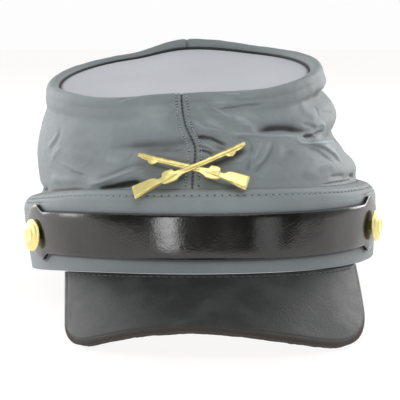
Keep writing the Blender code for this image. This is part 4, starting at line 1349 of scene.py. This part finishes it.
class KEPI_OT_hat_band(bpy.types.Operator):
    """Build the stiff hat band with its rounded shoulder"""

    bl_idname = "kepi.hat_band"
    bl_label = "Hat band"

    def execute(self, context):
        bearings = np.linspace(-math.pi, math.pi, BAND_COLUMNS, endpoint=False)
        heights, draws = band_profile()
        u, v = np.meshgrid(bearings, heights)
        outer = band_face(u, v, np.broadcast_to(draws[:, None], u.shape))
        outer = outer - band_normals(u) * dents(outer, BAND_DENTS)[..., None]
        widest = BAND_SHOULDER[0][1] * BAND_HEIGHT
        shelf = shelf_width(bearings)
        lip = BAND_HEIGHT - SHELF_LIP
        inner = [
            (shelf, lip),
            (shelf - BAND_WALL / 2, lip),
            (np.maximum(BAND_WALL, shelf - BAND_WALL), BAND_HEIGHT - SHELF_THICKNESS),
            (BEND_THICKNESS, widest),
            (BAND_WALL, widest / 2),
            (BAND_TAPER + BAND_WALL, 0.0),
        ]
        inside = np.stack([band_points(bearings, inset, height) for inset, height in inner])
        sections = np.swapaxes(np.concatenate((outer, inside)), 0, 1)
        # The band's mark of painted shadow, painted shade and painted light.
        wear_and_painted_light = np.zeros(sections.shape[:2])
        wear_and_painted_light[:, : len(heights)] = band_wear(u, v * BAND_HEIGHT).T
        faces = quads(*sections.shape[:2], ring=True, closed=True)
        mesh = facing_out(mesh_of("hat_band", sections.reshape(-1, 3), faces, None, {"wear_and_painted_light": wear_and_painted_light}))
        piece = place_piece("hat_band", mesh, [kept(grey_leather)], "crown_leather", "band")
        softened_edges(piece, BAND_ROUND)
        return {"FINISHED"}


def peak_points(share, row):
    """Top face of the peak. Rows run in from the cut edge (0) to the band (1) and under its edge (2)."""
    bearing = PEAK_SPAN * share
    under = band_points(bearing, BAND_TAPER + BAND_WALL * (row - 1), -CLEARANCE)
    start = band_points(bearing, BAND_TAPER, -CLEARANCE)
    side = np.abs(share)
    from_side = BAND_HALF_WIDTH * math.sin(PEAK_SPAN) * (1 - side)
    reach = PEAK_REACH + (PEAK_SIDE_REACH - PEAK_REACH) * side**2
    corner = np.where(share < 0, PEAK_CORNER_LEFT, PEAK_CORNER_RIGHT)
    over = np.maximum(0.0, corner - from_side)
    reach = reach - (corner - np.sqrt(np.maximum(0.0, corner**2 - over**2)))
    slope = PEAK_SLOPE + (PEAK_SIDE_SLOPE - PEAK_SLOPE) * side**2
    toe_in = PEAK_TOE_IN * share
    out = 1 - row
    drop = reach * np.tan(slope) * ((1 - PEAK_HOLLOW) * out + PEAK_HOLLOW * out**2)
    droop = (PEAK_DROOP * share + PEAK_BOW * bell(share - PEAK_BOW_AT, PEAK_BOW_SPREAD)) * out
    to_edge = np.minimum(row * reach, from_side)
    tooled = -TOOLED_LINE_DEPTH * bell(to_edge - TOOLED_LINE_AT, TOOLED_LINE_BREADTH)
    tooled = tooled - EDGE_FALL * np.exp(-to_edge / EDGE_FALL_RUN)
    x = -np.sin(toe_in) * reach * out
    y = -np.cos(toe_in) * reach * out
    points = start + stacked(x, y, tooled - drop - droop)
    return np.where((row >= 1)[..., None], under, points)


class KEPI_OT_peak(bpy.types.Operator):
    """Build the moulded peak with its raw cut edge"""

    bl_idname = "kepi.peak"
    bl_label = "Peak"

    def execute(self, context):
        shares = PEAK_LIMIT * np.sin(math.pi / 2 * np.linspace(-1, 1, PEAK_COLUMNS))
        rows = np.concatenate((np.linspace(0, 0.09, 12), np.linspace(0.12, 0.98, 30), (1.02, 1.5, 2.0)))
        u, v = np.meshgrid(shares, rows)
        face = peak_points(u, v)
        free = np.clip(1 - v, 0, 1)
        face[..., 2] += dents(face, PEAK_DENTS) * free
        face[..., 1] += dents(face, PEAK_RAW_EDGE) * bell(v, 0.02)
        thickness = PEAK_THICKNESS + dents(face, PEAK_EDGE_WAVES) * bell(v, 0.05)
        back = face - grid_normals(face) * thickness[..., None]
        edge = np.clip(1.5 - v * PEAK_REACH / CUT_EDGE, 0, 1)
        mesh = closed_sheet("moulded_peak", face, back, marks={"edge": edge}, edge_rows=6)
        materials = [kept(dark_leather), kept(cut_leather)]
        piece = place_piece("moulded_peak", mesh, materials, "peak_leather", "peak")
        softened_edges(piece, PEAK_ROUND, 3, 50)
        return {"FINISHED"}


def mean_radius():
    return (BAND_HALF_WIDTH + BAND_HALF_LENGTH) / 2


def strap_corner():
    return BUTTON_BEARING * mean_radius() - STRAP_CORNER


def strap_half_width(past_corner):
    """Half the strap's width, from the length past its flared corner."""
    corner = STRAP_FLARE_WIDTH / 2
    ease = np.clip((past_corner + STRAP_FLARE) / STRAP_FLARE, 0, 1)
    flare = STRAP_WIDTH / 2 + (corner - STRAP_WIDTH / 2) * ease**STRAP_FLARE_CURVE
    share = np.clip(past_corner / (STRAP_CORNER + STRAP_TIP), 0, 1)
    tip = corner * (STRAP_TIP_BLUNT + (1 - STRAP_TIP_BLUNT) * np.sqrt(1 - share**2))
    return np.where(past_corner < 0, flare, tip)


def strap_points(along, across):
    """The strap's face, from lengths along it and shares across it from -1 to 1."""
    rise = STRAP_RISE * (along / strap_corner()) ** 2
    height = STRAP_HEIGHT + rise + strap_half_width(np.abs(along) - strap_corner()) * across
    outset = CLEARANCE + STRAP_THICKNESS - band_draw_in(height) - STRAP_EDGE_FALL * np.abs(across) ** 6
    return band_points(STRAP_TURN + along / mean_radius(), -outset, height)


class KEPI_OT_chin_strap(bpy.types.Operator):
    """Build the glossy chin strap with its flared ends"""

    bl_idname = "kepi.chin_strap"
    bl_label = "Chin strap"

    def execute(self, context):
        corner = strap_corner()
        tip = corner + STRAP_CORNER + STRAP_TIP
        end = corner + (tip - corner) * np.sin(math.pi / 2 * np.linspace(0, 0.995, 26))
        flare = np.linspace(corner - STRAP_FLARE * 1.1, corner, 16)[:-1]
        side = np.concatenate((flare, end))
        middle = np.linspace(-flare[0], flare[0], STRAP_COLUMNS)[1:-1]
        lengths = np.concatenate((-side[::-1], middle, side))
        u, v = np.meshgrid(lengths, np.linspace(-1, 1, 17))
        face = strap_points(u, v)
        waves = dents(face, STRAP_WAVES)
        normals = grid_normals(face)
        back = face - normals * (STRAP_THICKNESS - STRAP_BACK_LIFT)
        face = face + normals * (waves - STRAP_FACE_DROP)[..., None]
        mesh = closed_sheet("strap", face, back)
        materials = [kept(glossy_leather), kept(strap_edge)]
        piece = place_piece("strap", mesh, materials, "strap_leather", "chin_strap")
        softened_edges(piece, STRAP_ROUND, 2, 50)
        return {"FINISHED"}


def on_band(side_sign):
    """A matrix that stands a piece on the band's outer face at a button's place."""
    bearing = STRAP_TURN + BUTTON_BEARING * side_sign
    place = band_points(np.array(bearing), band_draw_in(BUTTON_HEIGHT), BUTTON_HEIGHT)
    turn = BUTTON_TURN_LEFT if side_sign < 0 else BUTTON_TURN_RIGHT
    normal = Matrix.Rotation(turn, 3, "Z") @ Vector(band_normals(np.array(bearing)))
    return Matrix.Translation(Vector(place)) @ normal.to_track_quat("Z", "Y").to_matrix().to_4x4()


class KEPI_OT_buttons(bpy.types.Operator):
    """Build the two domed brass buttons on their shanks"""

    bl_idname = "kepi.buttons"
    bl_label = "Buttons"

    def execute(self, context):
        foot = CLEARANCE + STRAP_THICKNESS
        back = foot + BUTTON_STAND
        profile = [(0.0, SHANK_FOOT), (SHANK_RADIUS, SHANK_FOOT)]
        profile += [(SHANK_RADIUS, back - 0.0004), (SHANK_RADIUS * 1.5, back)]
        profile += [(BUTTON_RADIUS * share, back + lift) for _, share, lift in BUTTON_RIM]
        for share in np.linspace(0.82, 0.0, 19):
            ring = BUTTON_RING * bell(share - BUTTON_RING_AT, BUTTON_RING_SPREAD)
            lift = DOME_FOOT + BUTTON_DOME * (BUTTON_DOME_SHARE * (1 - share**3) + ring)
            profile.append((BUTTON_RADIUS * share, float(back + lift)))
        for name, node, side_sign in (
            ("brass_button_left", "button_left", -1),
            ("brass_button_right", "button_right", 1),
        ):
            shape = bmesh.new()
            points = [shape.verts.new((radius, 0, height)) for radius, height in profile]
            edges = [shape.edges.new(pair) for pair in zip(points, points[1:])]
            whole = {"geom": points + edges, "angle": math.tau, "steps": BUTTON_STEPS}
            bmesh.ops.spin(shape, cent=(0, 0, 0), axis=(0, 0, 1), use_duplicate=False, **whole)
            bmesh.ops.remove_doubles(shape, verts=shape.verts[:], dist=1e-6)
            bmesh.ops.recalc_face_normals(shape, faces=shape.faces[:])
            bmesh.ops.transform(shape, matrix=on_band(side_sign), verts=shape.verts[:])
            mesh = bpy.data.meshes.new(name)
            shape.to_mesh(mesh)
            shape.free()
            mesh.shade_smooth()
            place_piece(name, mesh, [kept(polished_brass)], "brass", node)
        return {"FINISHED"}


def badge_points(across, up, out):
    """Carries points of the flat badge onto the crown's front, measured from the crossing of the rifles."""
    front = np.zeros(1)
    wall = top_points(front, RIM_RADIUS, 0.0) - crown_feet(front, BAND_HEIGHT)
    share = (BADGE_RISE + up) / np.linalg.norm(wall)
    bearing = (across + BADGE_SHEAR * up + BADGE_SIDE) / BAND_HALF_WIDTH
    foot = crown_feet(bearing, BAND_HEIGHT)
    rim = top_points(bearing, RIM_RADIUS, 0.0)
    belly = SLUMP_DEPTH * bell(share - BADGE_BELLY_AT, BADGE_BELLY_SPREAD)
    outwards = band_normals(bearing + CROWN_TWIST)
    stand = BADGE_STAND + belly - BADGE_LEAN * up + out
    return foot + (rim - foot) * share[..., None] + outwards * stand[..., None]


def rifle_relief(station, height, across):
    """Thickness and dirt of a rifle's face, as shares, at those stations and heights. across is the share of
    its breadth, from -1 to 1."""
    ahead_of_lock = eased((station - BARREL_FROM) / 0.04)
    barrel = bell(height - 0.008, 0.013) * ahead_of_lock
    parting = bell(height + 0.010, 0.004) * ahead_of_lock * (station < PARTING_TO)
    plate = bell(height - 0.020, 0.022) * bell(station - LOCK_AT, 0.04)
    stock_line = bell(height + 0.066 - 0.16 * (station + 0.48), 0.004) * (station < STOCK_LINE_TO)
    boss = bell(height + 0.020, 0.014) * bell(station - BOSS_AT, 0.018)
    body = 0.75 + 0.25 * (1 - np.abs(across) ** 14)
    relief = body + 0.2 * barrel - 0.2 * parting + 0.2 * plate - 0.25 * stock_line + 0.3 * boss
    dirt = 0.35 * parting + 0.55 * stock_line + 0.85 * np.abs(across) ** 7
    return relief, dirt


def rifle_piece(name, mirrored, lift):
    """One rifle of the badge, lifted where it crosses over the other."""
    stations = column(RIFLE_STATIONS, 1)
    fine = np.unique(np.concatenate((np.linspace(-0.5, 0.5, RIFLE_COLUMNS), stations)))
    low, high, thick = (np.interp(fine, stations, column(RIFLE_STATIONS, k)) for k in (2, 3, 4))
    u, v = np.meshgrid(np.arange(len(fine)), np.linspace(-1, 1, 21))
    station = fine[u]
    height = (low[u] + high[u]) / 2 + (high[u] - low[u]) / 2 * v
    relief, dirt = rifle_relief(station, height, v)
    out = BADGE_THICKNESS * thick[u] * relief
    x = BADGE_LENGTH * station
    y = BADGE_LENGTH * height
    noise_places = stacked(x, y, 0.01 * mirrored)
    stains = np.clip(0.5 + 0.9 * smooth_noise(noise_places, STAIN_SIZE, 31), 0, 1)
    stains = stains * (station > STAINED_FROM)
    recess = np.clip(dirt + stains * (0.15 + 0.6 * v**2), 0, 1)
    across = x * math.cos(BADGE_CROSSING) - y * math.sin(BADGE_CROSSING)
    up = x * math.sin(BADGE_CROSSING) + y * math.cos(BADGE_CROSSING)
    if mirrored:
        across = -across
    rolled = across * math.cos(BADGE_ROLL) - up * math.sin(BADGE_ROLL)
    raised = across * math.sin(BADGE_ROLL) + up * math.cos(BADGE_ROLL)
    front = badge_points(rolled, raised, out + lift)
    back = badge_points(rolled, raised, np.zeros_like(out))
    mesh = closed_sheet(name, front, back, marks={"recess": recess})
    mesh.set_sharp_from_angle(angle=math.radians(35))
    brass = kept(polished_brass)
    piece = place_piece(name, mesh, [brass, brass], "brass", "badge")
    softened_edges(piece, BADGE_ROUND, 2, 50)


class KEPI_OT_badge(bpy.types.Operator):
    """Build the crossed-rifles badge in relief"""

    bl_idname = "kepi.badge"
    bl_label = "Badge"

    def execute(self, context):
        rifle_piece("badge_rifle_under", True, 0.0)
        rifle_piece("badge_rifle_over", False, BADGE_THICKNESS * BADGE_LIFT)
        for side, across in (("left", -POST_SPACING / 2), ("right", POST_SPACING / 2)):
            points = badge_points(np.full(2, across), np.zeros(2), np.array(POST_ENDS))
            mesh = capsule_run([(points[0], points[1])], [Vector((0, 0, 1))], POST_RADIUS, 0.0, 1.0)
            place_piece(f"badge_post_{side}", mesh, [kept(polished_brass)], "brass", "badge")
        return {"FINISHED"}


def capsule_run(ends, normals, radius, arch, flatness, sides=8, rings=9):
    """Rounded rods between pairs of points, arched along their normals and flat against the leather."""
    points = []
    faces = []
    turns = np.linspace(0, math.tau, sides, endpoint=False)
    steps = np.sin(math.pi / 2 * np.linspace(-1, 1, rings))
    for (start, end), normal in zip(ends, normals):
        start = np.array(start)
        end = np.array(end)
        normal = np.array(normal)
        run = unit(end - start)
        side = unit(np.cross(normal, run))
        up = np.cross(run, side)
        base = len(points)
        for step in steps:
            centre = start + (end - start) * (step + 1) / 2 + up * arch * (1 - step**2)
            breadth = radius * math.sqrt(max(0.02, 1 - abs(step) ** 5))
            for turn in turns:
                reach = side * math.cos(turn) + up * math.sin(turn) * flatness
                points.append(centre + reach * breadth)
        for ring in range(rings - 1):
            for k in range(sides):
                a = base + ring * sides + k
                b = base + ring * sides + (k + 1) % sides
                faces.append((a, b, b + sides, a + sides))
        for ring, order in ((0, -1), (rings - 1, 1)):
            first = base + ring * sides
            cap = [first + k for k in range(sides)][::order]
            for k in range(1, sides - 2, 2):
                faces.append((cap[0], cap[k], cap[k + 1], cap[k + 2]))
    return facing_out(mesh_of("rods", np.array(points), np.array(faces)))


def evenly_along(surface, start, end, pitch):
    """Points that step along a line on a surface by that pitch, with their normals.
    surface(t) gives points along the line, and surface(t, aside) points beside it."""
    t = np.linspace(start, end, 1200)
    line = surface(t, 0.0)
    lengths = np.concatenate(([0], np.cumsum(np.linalg.norm(np.diff(line, axis=0), axis=1))))
    count = max(1, int(lengths[-1] / pitch))
    at = np.interp(np.linspace(0, lengths[-1], count + 1), lengths, t)
    points = surface(at, 0.0)
    ahead = surface(at + (end - start) * 1e-4, 0.0) - surface(at - (end - start) * 1e-4, 0.0)
    aside = surface(at, 1e-3) - surface(at, -1e-3)
    normals = unit(np.cross(ahead, aside))
    return points, normals


def sewn_line(name, surface, start, end, out_sign, thread, proud=0.35, pitch=1.0, stout=1.0, stray=0.0):
    """A line of stitches with a dark patch of painted shade at each end for the needle's hole. pitch and
    stout are multiples of the usual stitch's length and of the thread's width, proud is its arch over its
    own radius, and stray is how far the holes wander."""
    looks = bpy.context.scene.kepi
    points, normals = evenly_along(surface, start, end, looks.stitch_pitch * pitch)
    normals = normals * out_sign
    for axis in range(3):
        points[:, axis] += stray * smooth_noise(points, STRAY_SIZE, 20 + axis)
    radius = looks.thread_width / 2 * stout
    ends = []
    holes = []
    for point, after, normal in zip(points, points[1:], normals):
        lift = normal * radius * 0.1
        step = after - point
        ends.append((point + step * STITCH_INSET + lift, point + step * (1 - STITCH_INSET) + lift))
        holes.append((point - unit(step) * HOLE_HALF_LENGTH, point + unit(step) * HOLE_HALF_LENGTH))
    threads = capsule_run(ends, normals, radius, radius * proud, STITCH_FLATNESS, 6, 7)
    place_piece(name, threads, [thread], "crown_leather")
    # Dark patches of painted shade where the needle holes are.
    dots = capsule_run(holes, normals, HOLE_RADIUS, HOLE_RISE, HOLE_FLATNESS, 8, 5)
    place_piece(name + "_holes", dots, [kept(needle_hole_shade)], "crown_leather")


def needle_hole_shade():
    """Painted shade of a needle's hole, as a dark patch on the leather."""
    bench = Bench(bpy.data.materials.new("needle_hole_shade"))
    shade = bench.cloud(bench.places(), 0.001)
    base = bench.blend(shade, solid((0.012, 0.014, 0.015)), solid((0.03, 0.035, 0.037)))
    return bench.done(Base_Color=base, Roughness=0.9)


def grey_thread():
    return spun_thread("grey_thread", bpy.context.scene.kepi.crown_colour, 1.7)


def pale_thread():
    return spun_thread("pale_thread", bpy.context.scene.kepi.crown_colour, 1.9)


def dark_thread():
    return spun_thread("dark_thread", bpy.context.scene.kepi.peak_colour, 4.0)


class KEPI_OT_stitches(bpy.types.Operator):
    """Sew the stitches of the band, the two crown seams and the peak"""

    bl_idname = "kepi.stitches"
    bl_label = "Stitches"

    def execute(self, context):
        grey = kept(grey_thread)
        pale = kept(pale_thread)
        heights, draws = band_profile()

        def band_line(t, aside):
            height = np.full_like(t, STITCHED_EDGE + aside / BAND_HEIGHT)
            return band_face(t, height, np.interp(height, heights[BAND_ROWS:], draws[BAND_ROWS:]))

        sewn_line("band_stitches", band_line, -math.pi, math.pi, 1, grey)
        for place, bearing in (("front", 0.0), ("back", math.pi)):
            for side, sign in (("left", -1), ("right", 1)):

                def seam_line(t, aside, at=bearing, sign=sign):
                    across = np.full_like(t, at + (sign * SEAM_STITCHES + aside) / RIM_RADIUS)
                    return crown_points(across, t)

                name = f"{place}_seam_stitches_{side}"
                sewn_line(name, seam_line, SEAM_SEWN_FROM, SEAM_SEWN_TO, -1, pale, 0.5, 0.42, 1.3, 0.0005)

        def peak_line(t, aside):
            return peak_points(t, np.full_like(t, PEAK_STITCH_ROW + aside / PEAK_REACH))

        sewn_line("peak_stitches", peak_line, -PEAK_STITCHED, PEAK_STITCHED, 1, kept(dark_thread), 0.2)
        return {"FINISHED"}


def soft_light(name, place, aim, width, height, power):
    """A rectangular light that faces its aim."""
    light = bpy.data.lights.new(name, "AREA")
    light.shape = "RECTANGLE"
    light.size = width
    light.size_y = height
    light.energy = power * bpy.context.scene.kepi.light
    lamp = bpy.data.objects.new(name, light)
    bpy.context.scene.collection.objects.link(lamp)
    lamp.location = place
    lamp.rotation_euler = (Vector(aim) - Vector(place)).to_track_quat("-Z", "Y").to_euler()


def tent_light():
    """A white light tent that is dimmer on the camera's side."""
    world = bpy.data.worlds.new("light_tent")
    bpy.context.scene.world = world
    bench = Bench(world)
    ahead = bench.add("ShaderNodeTexCoord", None, None, "Generated")
    depth = bench.add("ShaderNodeSeparateXYZ", None, {0: ahead}, "Y")
    levels = {"From Max": TENT_DIM_BY, "To Min": TENT_LEVEL, "To Max": TENT_FRONT_LEVEL}
    levels.update({"Value": depth, "From Min": 0.0})
    front = bench.add("ShaderNodeMapRange", {"interpolation_type": "SMOOTHSTEP"}, levels)
    seen = bench.add("ShaderNodeLightPath", None, None, "Is Camera Ray")
    level = bench.add("ShaderNodeMix", {"data_type": "FLOAT"}, {0: seen, 2: front, 3: TENT_SEEN_LEVEL})
    sky = bench.add("ShaderNodeBackground", None, {"Color": solid((1, 1, 1)), "Strength": level})
    bench.add("ShaderNodeOutputWorld", None, {"Surface": sky})


def white_floor():
    """A floor that glows evenly, so that it meets the light tent."""
    bench = Bench(bpy.data.materials.new("white_floor"))
    cloud = bench.cloud(bench.places(), 0.6, 2.0)
    base = bench.blend(cloud, solid((0.13, 0.124, 0.12)), solid((0.145, 0.138, 0.134)))
    return bench.done(
        Base_Color=base,
        Roughness=0.9,
        Specular_IOR_Level=0.1,
        Emission_Color=solid((1.0, 0.98, 0.976)),
        Emission_Strength=FLOOR_GLOW,
    )


class KEPI_OT_stage(bpy.types.Operator):
    """Set the hat on a white floor with soft studio light and the camera"""

    bl_idname = "kepi.stage"
    bl_label = "Stage"

    def execute(self, context):
        scene = context.scene
        front = [(-FLOOR_SIDE, FLOOR_FRONT, 0), (FLOOR_SIDE, FLOOR_FRONT, 0)]
        corners = [*front, (FLOOR_SIDE, FLOOR_BACK, 0), (-FLOOR_SIDE, FLOOR_BACK, 0)]
        mesh = bpy.data.meshes.new("floor")
        mesh.from_pydata(corners, [], [(0, 1, 2, 3)])
        mesh.materials.append(kept(white_floor))
        floor = bpy.data.objects.new("floor", mesh)
        scene.collection.objects.link(floor)
        tent_light()
        for light in LIGHTS:
            soft_light(*light)
        camera = bpy.data.cameras.new("camera")
        camera.sensor_width = CAMERA_SENSOR
        camera.lens = CAMERA_LENS
        camera.clip_start = 0.01
        view = bpy.data.objects.new("camera", camera)
        scene.collection.objects.link(view)
        yaw = Matrix.Rotation(CAMERA_YAW, 3, "Z")
        hat = hat_matrix()
        place = hat @ (yaw @ Vector((0, -CAMERA_DISTANCE, CAMERA_HEIGHT)))
        ahead = Vector((0, math.cos(CAMERA_PITCH), -math.sin(CAMERA_PITCH)))
        ahead = hat.to_3x3() @ (yaw @ ahead)
        turn = ahead.to_track_quat("-Z", "Y").to_matrix().to_4x4()
        view.matrix_world = Matrix.Translation(place) @ turn @ Matrix.Rotation(CAMERA_ROLL, 4, "Z")
        scene.camera = view
        scene.view_settings.view_transform = "Standard"
        return {"FINISHED"}


PIECES = (
    KEPI_OT_crown,
    KEPI_OT_round_top,
    KEPI_OT_hat_band,
    KEPI_OT_peak,
    KEPI_OT_chin_strap,
    KEPI_OT_buttons,
    KEPI_OT_badge,
    KEPI_OT_stitches,
    KEPI_OT_stage,
)


class KEPI_PT_panel(bpy.types.Panel):
    """Sizes, colours and pieces of the kepi"""

    bl_idname = "KEPI_PT_panel"
    bl_label = "Leather kepi"
    bl_space_type = "VIEW_3D"
    bl_region_type = "UI"
    bl_category = "Kepi"

    def draw(self, context):
        for name in KepiLooks.__annotations__:
            self.layout.prop(context.scene.kepi, name)
        for piece in PIECES:
            self.layout.operator(piece.bl_idname)


def register():
    for cls in (KepiLooks, *PIECES, KEPI_PT_panel):
        bpy.utils.register_class(cls)
    bpy.types.Scene.kepi = bpy.props.PointerProperty(type=KepiLooks)


def unregister():
    del bpy.types.Scene.kepi
    for cls in reversed((KepiLooks, *PIECES, KEPI_PT_panel)):
        bpy.utils.unregister_class(cls)


def main():
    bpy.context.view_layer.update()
    register()
    bpy.ops.kepi.crown()
    bpy.ops.kepi.round_top()
    bpy.ops.kepi.hat_band()
    bpy.ops.kepi.peak()
    bpy.ops.kepi.chin_strap()
    bpy.ops.kepi.buttons()
    bpy.ops.kepi.badge()
    bpy.ops.kepi.stitches()
    bpy.ops.kepi.stage()
    bpy.context.view_layer.update()


if __name__ == "__main__":
    main()
